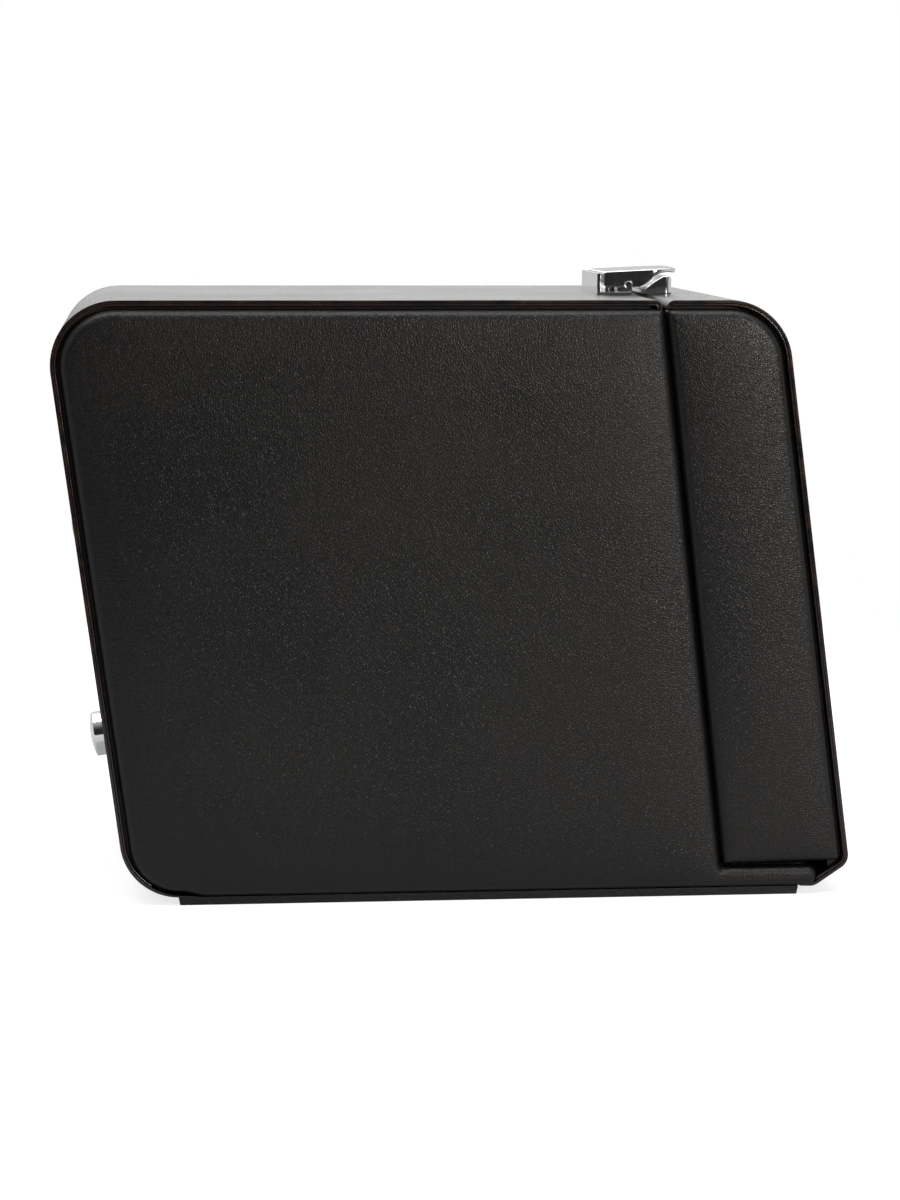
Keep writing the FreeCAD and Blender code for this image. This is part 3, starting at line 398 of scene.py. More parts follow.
def suede_material(name, dark, light):
    """Short-napped microfibre: brushed patches, fine fibre bump and a sheen."""
    material, tree, principled = shader(name)
    coords = object_coords(tree)
    brushed = spread(tree, noise_out(tree, coords, 38.0, 5.0, 0.62, 1.2), 0.35, 0.65, 0.0, 1.0)
    fibres = noise_out(tree, coords, 2600.0, 3.0, 0.7)
    shade = maths(tree, "ADD", maths(tree, "MULTIPLY", brushed, 0.7), maths(tree, "MULTIPLY", fibres, 0.3))
    tree.links.new(blended(tree, shade, dark, light), principled.inputs["Base Color"])
    tree.links.new(bump(tree, fibres, 0.09 * MM), principled.inputs["Normal"])
    principled.inputs["Roughness"].default_value = 0.95
    principled.inputs["Sheen Weight"].default_value = 0.55
    principled.inputs["Sheen Roughness"].default_value = 0.4
    return material


def wood_material(name, dark, light):
    """Straight-grained hardwood with growth lines and pores along X."""
    material, tree, principled = shader(name)
    coords = object_coords(tree)
    grain = add_node(tree, "ShaderNodeVectorMath", [(0, coords), (1, (0.06, 1.0, 1.0))],
                     operation="MULTIPLY").outputs[0]
    rings = noise_out(tree, grain, 130.0, 6.0, 0.6, 1.6)
    pores = noise_out(tree, grain, 1500.0, 3.0, 0.6)
    figure = spread(tree, rings, 0.32, 0.68, 0.0, 1.0)
    tone = maths(tree, "MULTIPLY", figure, spread(tree, pores, 0.3, 0.6, 0.75, 1.0))
    tree.links.new(blended(tree, tone, dark, light), principled.inputs["Base Color"])
    tree.links.new(spread(tree, tone, 0.0, 1.0, 0.52, 0.42), principled.inputs["Roughness"])
    tree.links.new(bump(tree, pores, 0.04 * MM, 0.8), principled.inputs["Normal"])
    return material


def clay_material(name, colour):
    """Pressed clay composite of a chip, slightly grainy and scuffed."""
    material, tree, principled = shader(name)
    coords = object_coords(tree)
    scuffs = spread(tree, noise_out(tree, coords, 260.0, 5.0, 0.65), 0.4, 0.75, 0.0, 1.0)
    lighter = tuple(min(1.0, c * 1.25 + 0.02) for c in colour[:3]) + (1,)
    tree.links.new(blended(tree, scuffs, colour, lighter), principled.inputs["Base Color"])
    tree.links.new(spread(tree, scuffs, 0.0, 1.0, 0.5, 0.68), principled.inputs["Roughness"])
    tree.links.new(bump(tree, noise_out(tree, coords, 2200.0, 3.0), 0.03 * MM), principled.inputs["Normal"])
    return material


def card_material():
    """Cut edges of stacked cards: cream paper with one line per card; red lattice on the outer faces."""
    material, tree, principled = shader("card_stock")
    coords = object_coords(tree)
    parts = add_node(tree, "ShaderNodeSeparateXYZ", [("Vector", coords)])
    waves = []
    for operation in ("ADD", "SUBTRACT"):
        slanted = maths(tree, operation, parts.outputs[0], parts.outputs[2])
        waves.append(maths(tree, "SINE", maths(tree, "MULTIPLY", slanted, 1900.0)))
    lattice = spread(tree, maths(tree, "MULTIPLY", *waves), 0.0, 0.12, 0.0, 1.0)
    pattern = blended(tree, lattice, (0.42, 0.03, 0.035, 1), (0.72, 0.66, 0.58, 1))
    normal = add_node(tree, "ShaderNodeNewGeometry").outputs["Normal"]
    facing = add_node(tree, "ShaderNodeSeparateXYZ", [("Vector", normal)]).outputs[1]
    flat = maths(tree, "GREATER_THAN", maths(tree, "ABSOLUTE", facing), 0.9)
    tree.links.new(blended(tree, flat, (0.74, 0.71, 0.63, 1), pattern), principled.inputs["Base Color"])
    principled.inputs["Roughness"].default_value = 0.45
    return material


def plastic_material(name, colour, rough=0.22):
    """Plain glossy plastic with a little haze."""
    material, tree, principled = shader(name)
    coords = object_coords(tree)
    haze = noise_out(tree, coords, 300.0, 4.0, 0.6)
    tree.links.new(spread(tree, haze, 0.3, 0.7, rough, rough + 0.12), principled.inputs["Roughness"])
    tinted = tuple(c * 0.94 for c in colour[:3]) + (1,)
    tree.links.new(blended(tree, haze, colour, tinted), principled.inputs["Base Color"])
    return material


leather = leather_material()
sill_leather = leather_material("creased_leather", pebble=0.9 * MM, depth=0.12 * MM,
                                rough=(0.26, 0.4), light=(0.02, 0.0185, 0.018, 1))
edge_paint = edge_paint_material()
chrome = chrome_material("polished_chrome")
steel = chrome_material("turned_steel", (0.5, 0.5, 0.52, 1), 0.2)
suede = suede_material("charcoal_suede", (0.013, 0.012, 0.012, 1), (0.045, 0.042, 0.041, 1))
black_wood = wood_material("black_stained_board", (0.006, 0.005, 0.005, 1), (0.02, 0.016, 0.014, 1))
walnut = wood_material("walnut", (0.055, 0.027, 0.014, 1), (0.17, 0.09, 0.045, 1))
CHIP_COLOURS = {
    "ivory": (0.68, 0.64, 0.53, 1),
    "red": (0.36, 0.018, 0.02, 1),
    "green": (0.016, 0.13, 0.06, 1),
    "blue": (0.016, 0.05, 0.22, 1),
    "black": (0.018, 0.018, 0.02, 1),
}
clay = {colour: clay_material(f"chip_{colour}_clay", value) for colour, value in CHIP_COLOURS.items()}
inlay = plastic_material("chip_inlay", (0.72, 0.69, 0.6, 1), 0.35)
cards = card_material()
ivory = plastic_material("ivory_plastic", (0.76, 0.72, 0.62, 1))
pip_ink = plastic_material("pip_ink", (0.01, 0.01, 0.012, 1), 0.3)


# ------------------------------------------------------------------ padded side panels

PAD_ROUNDING = 3.0 * MM
PAD_STAND = 1.7 * MM
PAD_CROWN = 2.6 * MM
PAD_SOFT_REACH = 13 * MM
PAD_GRID = 3.5 * MM
ROUNDING_STEPS = 8
SOLVER_STEPS = 260


def edge_roll(distance):
    """How far the rolled edge lies below the panel's level, at a distance from the edge."""
    edge = np.clip(distance / PAD_ROUNDING, 0, 1)
    return PAD_ROUNDING * (np.sqrt(np.clip(1 - (1 - edge) ** 2, 0, 1)) - 1)


def foam_crown(points, triangles, fixed):
    """Height of leather held down at its edge and pressed up by foam, by conjugate gradients."""
    p = np.array([(v.x, v.y) for v in points])
    tri = np.array(triangles)
    area = np.zeros(len(p))
    ends, weights = [], []
    for k in range(3):
        a, b, c = p[tri[:, k]], p[tri[:, (k + 1) % 3]], p[tri[:, (k + 2) % 3]]
        u, v = b - a, c - a
        twice = np.maximum(np.abs(u[:, 0] * v[:, 1] - u[:, 1] * v[:, 0]), 1e-12)
        weights.append(np.clip((u * v).sum(1) / twice, 0.0, 20.0) / 2)
        ends.append((tri[:, (k + 1) % 3], tri[:, (k + 2) % 3]))
        np.add.at(area, tri[:, k], twice / 6)
    i = np.concatenate([e[0] for e in ends])
    j = np.concatenate([e[1] for e in ends])
    w = np.concatenate(weights)

    def apply(h):
        flow = w * (h[i] - h[j])
        result = area / PAD_SOFT_REACH ** 2 * h
        result += np.bincount(i, flow, len(h)) - np.bincount(j, flow, len(h))
        result[fixed] = 0.0
        return result

    h = np.zeros(len(p))
    r = area * PAD_CROWN / PAD_SOFT_REACH ** 2
    r[fixed] = 0.0
    d, rr = r.copy(), (r * r).sum()
    for _ in range(SOLVER_STEPS):
        q = apply(d)
        step = rr / (d * q).sum()
        h += step * d
        r -= step * q
        new_rr = (r * r).sum()
        if new_rr < 1e-24:
            break
        d, rr = r + d * (new_rr / rr), new_rr
    return h


def triangulated(rings, inside):
    """Points and triangles of a flat area, with its rings kept as edges and more points inside."""
    flat = [p for ring in rings for p in ring]
    loops, first = [], 0
    for ring in rings:
        loops += [(first + i, first + (i + 1) % len(ring)) for i in range(len(ring))]
        first += len(ring)
    points, _, triangles, _, _, _ = geometry.delaunay_2d_cdt(flat + inside, loops, [], 1, 1e-7)
    return points, triangles


def close_behind(verts, faces, points, rim, behind):
    """Adds side walls along the rim and a flat back; behind gives the place behind a point, by its number."""
    numbers = {tuple(round(c, 7) for c in p): i for i, p in enumerate(points)}
    keys = [tuple(round(c, 7) for c in p) for p in rim]
    order = [numbers[key] for key in keys if key in numbers]
    back, count = len(verts), len(order)
    verts += [behind(i) for i in order]
    faces += [(order[i], order[(i + 1) % count], back + (i + 1) % count, back + i) for i in range(count)]
    faces.append(tuple(back + i for i in range(count)))


def point_inside(point, loop):
    inside = False
    previous = loop[-1]
    for here in loop:
        if (here.y > point.y) != (previous.y > point.y):
            cross = (previous.x - here.x) * (point.y - here.y) / (previous.y - here.y) + here.x
            inside ^= point.x < cross
        previous = here
    return inside


def padded_panel(name, node, corners, sign, body, relief=None):
    """Crowned leather panel over foam, built on rings near its edge and a grid inside."""
    rim = outline(corners)
    rings = [rim]
    for i in range(1, ROUNDING_STEPS + 1):
        inset = PAD_ROUNDING * (1 - math.cos(math.pi / 2 * i / ROUNDING_STEPS))
        rings.append(outline(inset_corners(corners, inset)))
    xs = [p.x for p in rim]
    zs = [p.y for p in rim]
    inside = [Vector((x, z)) for x in np.arange(min(xs), max(xs), PAD_GRID)
              for z in np.arange(min(zs), max(zs), PAD_GRID)]
    keep = distances(inside, rim) > PAD_ROUNDING + 1.2 * MM
    inside = [p for p, ok in zip(inside, keep) if ok and point_inside(p, rim)]
    points, triangles = triangulated(rings, inside)
    depth = distances(points, rim)
    height = PAD_STAND + edge_roll(depth) + foam_crown(points, triangles, depth < 1e-7)
    verts = []
    for p, h, d in zip(points, height, depth):
        soft = min(1.0, d / (8 * MM))
        h += 0.10 * MM * soft * smooth_noise(p.x, sign * 3.0, p.y, 31 * MM)
        h += 0.035 * MM * soft * smooth_noise(p.x, sign * 5.0, p.y, 9 * MM)
        if relief:
            h += relief(p.x, p.y, d)
        verts.append(Vector((p.x, sign * (PANEL_FACE + h), p.y)))
    faces = [tuple(face) for face in triangles]
    close_behind(verts, faces, points, rim, lambda i: Vector((verts[i].x, sign * PANEL_BACK, verts[i].z)))
    piece = new_piece(name, verts, faces, [leather], body, (node,))


PAD_BOTTOM = BODY_BOTTOM + 0.05 * MM
SPLIT_CLOSE = 0.45 * MM
PAD_OVERHANG = 1.0 * MM


def body_panel_corners():
    inset = LEATHER + PANEL_GAP
    shoulder = BODY_BOTTOM + 1.6 * MM
    return [
        (left_x(shoulder, inset), shoulder, BOTTOM_LEFT_RADIUS - inset),
        (BAND_END - 4 * MM, shoulder, 3 * MM),
        (BAND_END + 3 * MM, PAD_BOTTOM, 3 * MM),
        (TONGUE_END + PAD_OVERHANG, PAD_BOTTOM, 2.6 * MM),
        (TONGUE_END + PAD_OVERHANG, TONGUE_TOP - 0.3 * MM, 3.0 * MM),
        (split_x(TONGUE_TOP, SPLIT_CLOSE), TONGUE_TOP - 0.3 * MM, 0.8 * MM),
        (split_x(CASE_TOP - inset, SPLIT_CLOSE), CASE_TOP - inset, 1.6 * MM),
        (left_x(CASE_TOP - inset, inset), CASE_TOP - inset, TOP_LEFT_RADIUS - inset),
    ]


def lid_panel_corners():
    inset = LEATHER + PANEL_GAP
    low = LID_PANEL_BOTTOM - 0.4 * MM
    return [
        (split_x(low, SPLIT_GAP - SPLIT_CLOSE), low, 1.2 * MM),
        (right_x(low + 0.8 * MM, inset), low + 0.8 * MM, 1.6 * MM),
        (right_x(CASE_TOP - inset, inset), CASE_TOP - inset, LID_TOP_RADIUS - inset),
        (split_x(CASE_TOP - inset, SPLIT_GAP - SPLIT_CLOSE), CASE_TOP - inset, 1.6 * MM),
    ]


def tongue_relief(x, z, distance):
    """Crinkles where the leather is pulled over the tongue, and the crease where it starts."""
    start = split_x(TONGUE_TOP)
    if x < start - 6 * MM or z > TONGUE_TOP + 3 * MM:
        return 0.0
    crease = -0.35 * MM * math.exp(-(((x - start - 0.8 * MM) / (0.9 * MM)) ** 2))
    if x < start:
        return crease * max(0.0, 1 - (z - TONGUE_TOP) / (3 * MM)) if z > TONGUE_TOP else crease
    fade = max(0.0, (z - TONGUE_BOTTOM - 2.4 * MM) / (4 * MM))
    return crease + 0.22 * MM * smooth_noise(x, 0.0, z, 1.9 * MM) * fade


for side, sign in (("near", -1), ("far", 1)):
    padded_panel(f"{side}_body_pad", f"{side}_side_panel", body_panel_corners(), sign, "root", tongue_relief)
    padded_panel(f"{side}_lid_pad", f"{side}_lid_panel", lid_panel_corners(), sign, "lid")


# ------------------------------------------------------------------ leather bands


def strip_stations(half_width, marks=()):
    """Places along Y for a band, denser near its edges, with extra places at marks."""
    places = {-half_width, half_width, -half_width + 1.5 * MM, half_width - 1.5 * MM}
    places |= set(np.linspace(-half_width, half_width, 25)[2:-2])
    for mark in marks:
        places = {p for p in places if min(abs(p - mark), abs(p + mark)) > 1.5 * MM} | {mark, -mark}
    return sorted(places)


def skin(name, path, half_width, thickness, body, replaced=(), holes=(), hole_half=0.0, wave=0.0, thin_end=0.0):
    """A leather strip: its outer face follows path, with rectangular holes between pairs of heights.

    Over thin_end, the last stretch of the path, the leather is pared down."""
    stations = strip_stations(half_width, (hole_half,) if holes else ())
    verts = []
    for p in path:
        for y in stations:
            h = wave * smooth_noise(p.x, y, p.y, 24 * MM)
            verts.append(Vector((p.x + h * 0.3, y, p.y + h)))
    width = len(stations)
    faces = []
    for i in range(len(path) - 1):
        middle = (path[i] + path[i + 1]) / 2
        cut = any(low < middle.y < high for low, high in holes) and middle.x < BAND_END
        for j in range(width - 1):
            if cut and abs(stations[j] + stations[j + 1]) / 2 < hole_half:
                continue
            faces.append((i * width + j, i * width + j + 1, (i + 1) * width + j + 1, (i + 1) * width + j))
    piece = new_piece(name, verts, faces, [leather, edge_paint], None, replaced)
    face_out(piece, path)
    solid = piece.modifiers.new("thickness", "SOLIDIFY")
    solid.thickness = thickness
    solid.offset = -1
    solid.material_offset_rim = 1
    solid.use_even_offset = True
    if thin_end:
        group = piece.vertex_groups.new(name="pared")
        for vertex in piece.data.vertices:
            away = (Vector((vertex.co.x, vertex.co.z)) - path[-1]).length
            group.add([vertex.index], min(1.0, max(0.0, away / thin_end)), "REPLACE")
        solid.vertex_group = group.name
        solid.thickness_vertex_group = 0.35
    add_bevel(piece, thickness * 0.47, 5, 50.0)
    if body:
        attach(piece, body)
    return piece


def face_out(piece, path):
    """Turns the strip's faces to the right of its path, which is the outside."""
    mesh = piece.data
    polygon = mesh.polygons[len(mesh.polygons) // 2]
    middle = Vector((polygon.center.x, polygon.center.z))
    nearest = min(range(1, len(path) - 1), key=lambda i: (middle - path[i]).length)
    along = (path[nearest + 1] - path[nearest - 1]).normalized()
    if Vector((polygon.normal.x, polygon.normal.z)).dot(Vector((along.y, -along.x))) < 0:
        mesh.flip_normals()


def body_band_path(inset):
    """From inside the split, over the top, down the left face and round under the corner."""
    turn_in = CASE_TOP - TURN_IN
    low = BODY_BOTTOM + inset
    return [
        (split_x(turn_in, -inset), turn_in, 0.0),
        (split_x(CASE_TOP - inset, -inset), CASE_TOP - inset, SPLIT_EDGE_RADIUS - inset),
        (left_x(CASE_TOP - inset, inset), CASE_TOP - inset, TOP_LEFT_RADIUS - inset),
        (left_x(low, inset), low, BOTTOM_LEFT_RADIUS - inset),
        (BAND_END, low, 0.0),
    ]


def lid_band_path(inset, start):
    """From the hinge under the tongue, up the toe and the right face, over the top into the split."""
    corner = toe_corner()
    turn_in = CASE_TOP - TURN_IN
    # close to the corner of a true inset
    toe = (corner[0] - inset * 0.95, corner[1] + inset * (TOE_STRETCH - 0.62), TOE_RADIUS - inset)
    return start + [
        toe,
        (right_x(CASE_TOP - inset, inset), CASE_TOP - inset, LID_TOP_RADIUS - inset),
        (split_x(CASE_TOP - inset, SPLIT_GAP + inset), CASE_TOP - inset, SPLIT_EDGE_RADIUS - inset),
        (split_x(turn_in, SPLIT_GAP + inset), turn_in, 0.0),
    ]


OPENING_PLAY = 0.4 * MM
drawer_faces = [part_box(f"{which}_drawer_leather") for which in ("lower", "upper")]
drawer_openings = [(low.z - OPENING_PLAY, high.z + OPENING_PLAY) for low, high in drawer_faces]
opening_half = drawer_faces[0][1].y + OPENING_PLAY
opening_stops = [height for pair in drawer_openings for height in pair]

INNER_INSET = OUTER_LAYER + LAYER_GAP
outer_path = open_path(body_band_path(0.0), stops=opening_stops)
inner_path = open_path(body_band_path(INNER_INSET), stops=opening_stops)
inner_path = [p for p in inner_path if p.y > INNER_END_HEIGHT]
skin("body_band_outer", outer_path, HALF_DEPTH, OUTER_LAYER, "root", ("main_band_leather",),
     drawer_openings, opening_half, wave=0.05 * MM, thin_end=14 * MM)
skin("body_band_inner", inner_path, HALF_DEPTH - INNER_NARROWER, INNER_LAYER, "root", (), drawer_openings,
     opening_half)

# the outer lid skin runs on under the tongue as the hinge, from HINGE_ROOT and round a curve at HINGE_BEND
HINGE_ROOT = (107.4 * MM, 2.85 * MM, 0.0)
HINGE_BEND = (TOE_FOOT[0] + 0.4 * MM, TOE_FOOT[1] - 0.05 * MM, 5 * MM)
lid_outer_path = open_path(lid_band_path(0.0, [HINGE_ROOT, HINGE_BEND]), 2.0 * MM)
hinge_skin = skin("lid_band_outer", lid_outer_path, HALF_DEPTH, OUTER_LAYER, None,
                  ("lid_band_leather", "hinge_leather"), wave=0.05 * MM)
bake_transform(hinge_skin)

TOE_START = 113.4 * MM
toe_height = TOE_FOOT[1] + TOE_SLOPE * (TOE_START - TOE_FOOT[0]) + INNER_INSET * TOE_STRETCH
lid_inner_path = open_path(lid_band_path(INNER_INSET, [(TOE_START, toe_height, 0.0)]), 2.0 * MM)
skin("lid_band_inner", lid_inner_path, HALF_DEPTH - INNER_NARROWER, INNER_LAYER, "lid")


SPLIT_FACING = 1.25 * MM


def split_facing(side, sign):
    """Suede strip glued on the edge of the body's side board, which fills the split behind the pads."""
    low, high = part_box(f"{side}_side_board")
    front = sign * max(abs(low.y), abs(high.y)) - sign * 0.3 * MM
    back = sign * min(abs(low.y), abs(high.y))
    heights = (TONGUE_TOP + 1.5 * MM, CASE_TOP - LEATHER - 5.4 * MM)
    verts = [Vector((split_x(z, offset), y, z)) for z in heights for y in (front, back)
             for offset in (0.02 * MM, SPLIT_FACING)]
    faces = [(0, 1, 3, 2), (4, 6, 7, 5), (0, 4, 5, 1), (2, 3, 7, 6), (0, 2, 6, 4), (1, 5, 7, 3)]
    strip = new_piece(f"{side}_split_facing", verts, faces, [suede], "root", (), smooth=False)
    add_bevel(strip, 0.35 * MM, 2)


for side, sign in (("near", -1), ("far", 1)):
    split_facing(side, sign)


# ------------------------------------------------------------------ tongue across the case


def tongue_wrap():
    """Leather pulled over the top and rounded end of the tongue, across the whole depth."""
    low, high = BODY_BOTTOM + 0.25 * MM, TONGUE_TOP
    start, end = split_x(TONGUE_TOP, -1.0 * MM), TONGUE_END - 0.35 * MM
    corners = [(start, low, 0.0), (end, low, 2.2 * MM), (end, high, 3.0 * MM), (start, high, 0.0)]
    section = outline(corners, 1.5 * MM)
    reach = PANEL_BACK + 0.4 * MM
    stations = np.linspace(-reach, reach, 90)
    verts, faces = [], []
    for y in stations:
        for p in section:
            crinkle = 0.12 * MM * smooth_noise(p.x, y, p.y, 2.6 * MM) if p.y > high - 3 * MM else 0.0
            verts.append(Vector((p.x, y, p.y + crinkle * 0.5)))
    n = len(section)
    for i in range(len(stations) - 1):
        for j in range(n):
            faces.append((i * n + j, i * n + (j + 1) % n, (i + 1) * n + (j + 1) % n, (i + 1) * n + j))
    faces += [tuple(range(n)), tuple((len(stations) - 1) * n + j for j in range(n))]
    new_piece("tongue_wrap", verts, faces, [sill_leather], "root", ("sill_cover",))


tongue_wrap()


# ------------------------------------------------------------------ drawer fronts


def drawer_pad(which):
    """Leather face of a drawer front: lies in the leaning left face, edges rolled."""
    low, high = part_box(f"{which}_drawer_leather")
    lift = Vector((-1, 0, -SIDE_LEAN)).normalized()
    along = Vector((-SIDE_LEAN, 0, 1)).normalized()
    length = (high.z - low.z) * SIDE_STRETCH
    foot = Vector((left_x(low.z), 0, low.z))
    half = high.y
    corners = [(y, z, 1.2 * MM) for y, z in ((-half, 0.0), (half, 0.0), (half, length), (-half, length))]
    rounding, steps, grid = 0.9 * MM, 4, 4 * MM
    insets = [rounding * (1 - math.cos(math.pi / 2 * i / steps)) for i in range(steps + 1)]
    rings = [outline(inset_corners(corners, inset), grid) for inset in insets]
    inside = [Vector((y, z)) for y in np.arange(-half + grid, half - 3 * MM, grid)
              for z in np.arange(grid, length - 3 * MM, grid)]
    points, triangles = triangulated(rings, inside)

    def placed(point, height):
        return foot + Vector((0, point.x, 0)) + along * point.y + lift * height

    verts = []
    for p, d in zip(points, distances(points, rings[0])):
        share = min(1.0, d / rounding)
        roll = rounding * (math.sqrt(1 - (1 - share) ** 2) - 1)
        verts.append(placed(p, roll + 0.05 * MM * smooth_noise(p.x, 9.0, p.y, 26 * MM) * share))
    faces = [tuple(face) for face in triangles]
    close_behind(verts, faces, points, rings[0], lambda i: placed(points[i], 0.02 * MM - LEATHER))
    new_piece(f"{which}_drawer_face", verts, faces, [leather], f"{which}_drawer", (f"{which}_drawer_leather",))


for which in ("lower", "upper"):
    drawer_pad(which)


# ------------------------------------------------------------------ chips

CHIP_SEGMENTS = 36
SPOT_WIDTH = 2
SPOT_PITCH = 6
CHIP_SHARE = 3.3 / 3.35  # a chip's thickness over the pitch of the row


def chip_section(radius, thickness):
    """(radius, height) points of a chip's section, from the middle of one face over the rim to the other."""
    half = thickness / 2
    front = [
        (0.0, half - 0.12 * MM), (radius * 0.56, half - 0.12 * MM), (radius * 0.60, half - 0.02 * MM),
        (radius * 0.66, half), (radius * 0.95, half), (radius - 0.12 * MM, half - 0.28 * MM),
        (radius, half - 0.75 * MM),
    ]
    return front + [(r, -height) for r, height in reversed(front)]


def chip_row(node, axis, count, colour, spots, body, seed):
    """A row of chips on edge: clay body, six edge spots and a plain inlay each."""
    low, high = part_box(node)
    centre = (low + high) / 2
    direction, side, up = Vector((1, 0, 0)), Vector((0, 1, 0)), Vector((0, 0, 1))
    length, width = high.x - low.x, high.y - low.y
    if axis == "Y":
        direction, side, length, width = side, direction, width, length
    pitch = length / (count - 1 + CHIP_SHARE)
    section = chip_section(width / 2, pitch * CHIP_SHARE)
    draw = random.Random(seed)
    verts, faces, slots = [], [], []
    for i in range(count):
        spin = draw.uniform(0, 2 * math.pi)
        middle = centre + direction * ((i - (count - 1) / 2) * pitch)
        base = len(verts)
        for r, height in section:
            if r == 0:
                verts.append(middle + direction * height)
                continue
            for k in range(CHIP_SEGMENTS):
                a = spin + 2 * math.pi * k / CHIP_SEGMENTS
                verts.append(middle + direction * height + (side * math.cos(a) + up * math.sin(a)) * r)
        rings = len(section) - 2
        ring_start = [base + 1 + n * CHIP_SEGMENTS for n in range(rings)]
        last = base + 1 + rings * CHIP_SEGMENTS
        for k in range(CHIP_SEGMENTS):
            following = (k + 1) % CHIP_SEGMENTS
            faces.append((base, ring_start[0] + k, ring_start[0] + following))
            slots.append(2)
            faces.append((last, ring_start[-1] + following, ring_start[-1] + k))
            slots.append(2)
            spot = k % SPOT_PITCH < SPOT_WIDTH
            for n in range(rings - 1):
                faces.append((ring_start[n] + k, ring_start[n + 1] + k, ring_start[n + 1] + following,
                              ring_start[n] + following))
                outer = 2 <= n <= rings - 4
                slots.append(1 if spot and outer else 0)
    mesh = bpy.data.meshes.new(node)
    mesh.from_pydata([tuple(v) for v in verts], [], faces)
    for material in (clay[colour], clay[spots], inlay):
        mesh.materials.append(material)
    mesh.polygons.foreach_set("material_index", slots)
    mesh.polygons.foreach_set("use_smooth", [True] * len(slots))
    mesh.update()
    piece = bpy.data.objects.new(f"{node}_chips", mesh)
    bpy.context.scene.collection.objects.link(piece)
    mend_normals(piece, merge=False)
    piece.modifiers.new("even_shading", "WEIGHTED_NORMAL")
    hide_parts(node)
    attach(piece, body)


RACK_CHIPS, DRAWER_CHIPS = 38, 47
RACK_ROWS = [("ivory", "blue"), ("red", "ivory"), ("green", "ivory"), ("black", "red")]
DRAWER_ROWS = [("red", "ivory"), ("blue", "ivory"), ("ivory", "blue")]
for i, (colour, spots) in enumerate(RACK_ROWS, start=1):
    chip_row(f"rack_chips_row_{i}", "Y", RACK_CHIPS, colour, spots, "root", i)
for i, (colour, spots) in enumerate(DRAWER_ROWS, start=1):
    chip_row(f"drawer_chips_row_{i}", "X", DRAWER_CHIPS, colour, spots, "lower_drawer",
             10 + i)


# ------------------------------------------------------------------ cards and dice


def card_decks():
    """Two decks on edge; each card is a thin rounded sheet, a little out of line with the next."""
    low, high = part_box("card_decks")
    apart = 1.0 * MM
    deck = (high.y - low.y - apart) / 2
    draw = random.Random(4)
    sheets = 26
    verts, faces = [], []
    for d in range(2):
        start = low.y + d * (deck + apart)
        thick = deck / sheets
        for i in range(sheets):
            dx, dz = draw.uniform(-0.25, 0.25) * MM, draw.uniform(-0.2, 0.0) * MM
            left, right = low.x + 0.3 * MM + dx, high.x - 0.3 * MM + dx
            bottom, top = low.z + dz + 0.2 * MM, high.z + dz
            places = ((left, bottom), (right, bottom), (right, top), (left, top))
            ring = outline([(x, z, 3.5 * MM) for x, z in places], 40 * MM)
            base, n = len(verts), len(ring)
            for y in (start + i * thick, start + (i + 1) * thick - 0.08 * MM):
                verts += [Vector((p.x, y, p.y)) for p in ring]
            faces += [(base + j, base + (j + 1) % n, base + n + (j + 1) % n, base + n + j) for j in range(n)]
            faces += [tuple(base + j for j in range(n)), tuple(base + n + j for j in range(n))]
    new_piece("card_stacks", verts, faces, [cards], "upper_drawer", ("card_decks",), smooth=False)


PIP_SIDES = 16
PIPS = {
    1: [(0, 0)],
    2: [(-1, -1), (1, 1)],
    3: [(-1, -1), (0, 0), (1, 1)],
    4: [(-1, -1), (-1, 1), (1, -1), (1, 1)],
    5: [(-1, -1), (-1, 1), (1, -1), (1, 1), (0, 0)],
    6: [(-1, -1), (-1, 0), (-1, 1), (1, -1), (1, 0), (1, 1)],
}


def dice_pips():
    """Round pips on the five dice, standing a hair proud of each face."""
    low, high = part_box("dice")
    size = high.x - low.x
    pitch = (high.y - low.y - size) / 4
    faces_of = [(2, 1), (2, -1), (0, 1), (0, -1), (1, 1), (1, -1)]
    orders = [(1, 6, 2, 5, 3, 4), (5, 2, 1, 6, 3, 4), (3, 4, 2, 5, 6, 1), (6, 1, 3, 4, 5, 2),
              (2, 5, 4, 3, 1, 6)]
    verts, faces = [], []
    for i, order in enumerate(orders):
        centre = Vector(((low.x + high.x) / 2, low.y + size / 2 + i * pitch, (low.z + high.z) / 2))
        for (axis, sign), value in zip(faces_of, order):
            across = [a for a in range(3) if a != axis]
            for u, v in PIPS[value]:
                place = centre.copy()
                place[axis] += sign * (size / 2 + 0.02 * MM)
                place[across[0]] += u * size * 0.25
                place[across[1]] += v * size * 0.25
                base = len(verts)
                for k in range(PIP_SIDES):
                    a = 2 * math.pi * k / PIP_SIDES
                    p = place.copy()
                    p[across[0]] += math.cos(a) * size * 0.085
                    p[across[1]] += math.sin(a) * size * 0.085
                    verts.append(p)
                    q = p.copy()
                    q[axis] -= sign * 0.3 * MM
                    verts.append(q)
                top = [base + 2 * k for k in range(PIP_SIDES)]
                faces.append(tuple(top))
                faces += [(a, b, b + 1, a + 1) for a, b in zip(top, top[1:] + top[:1])]
    new_piece("dice_pips", verts, faces, [pip_ink], "upper_drawer", (), smooth=False)


card_decks()
dice_pips()


# ------------------------------------------------------------------ CAD nodes that stay

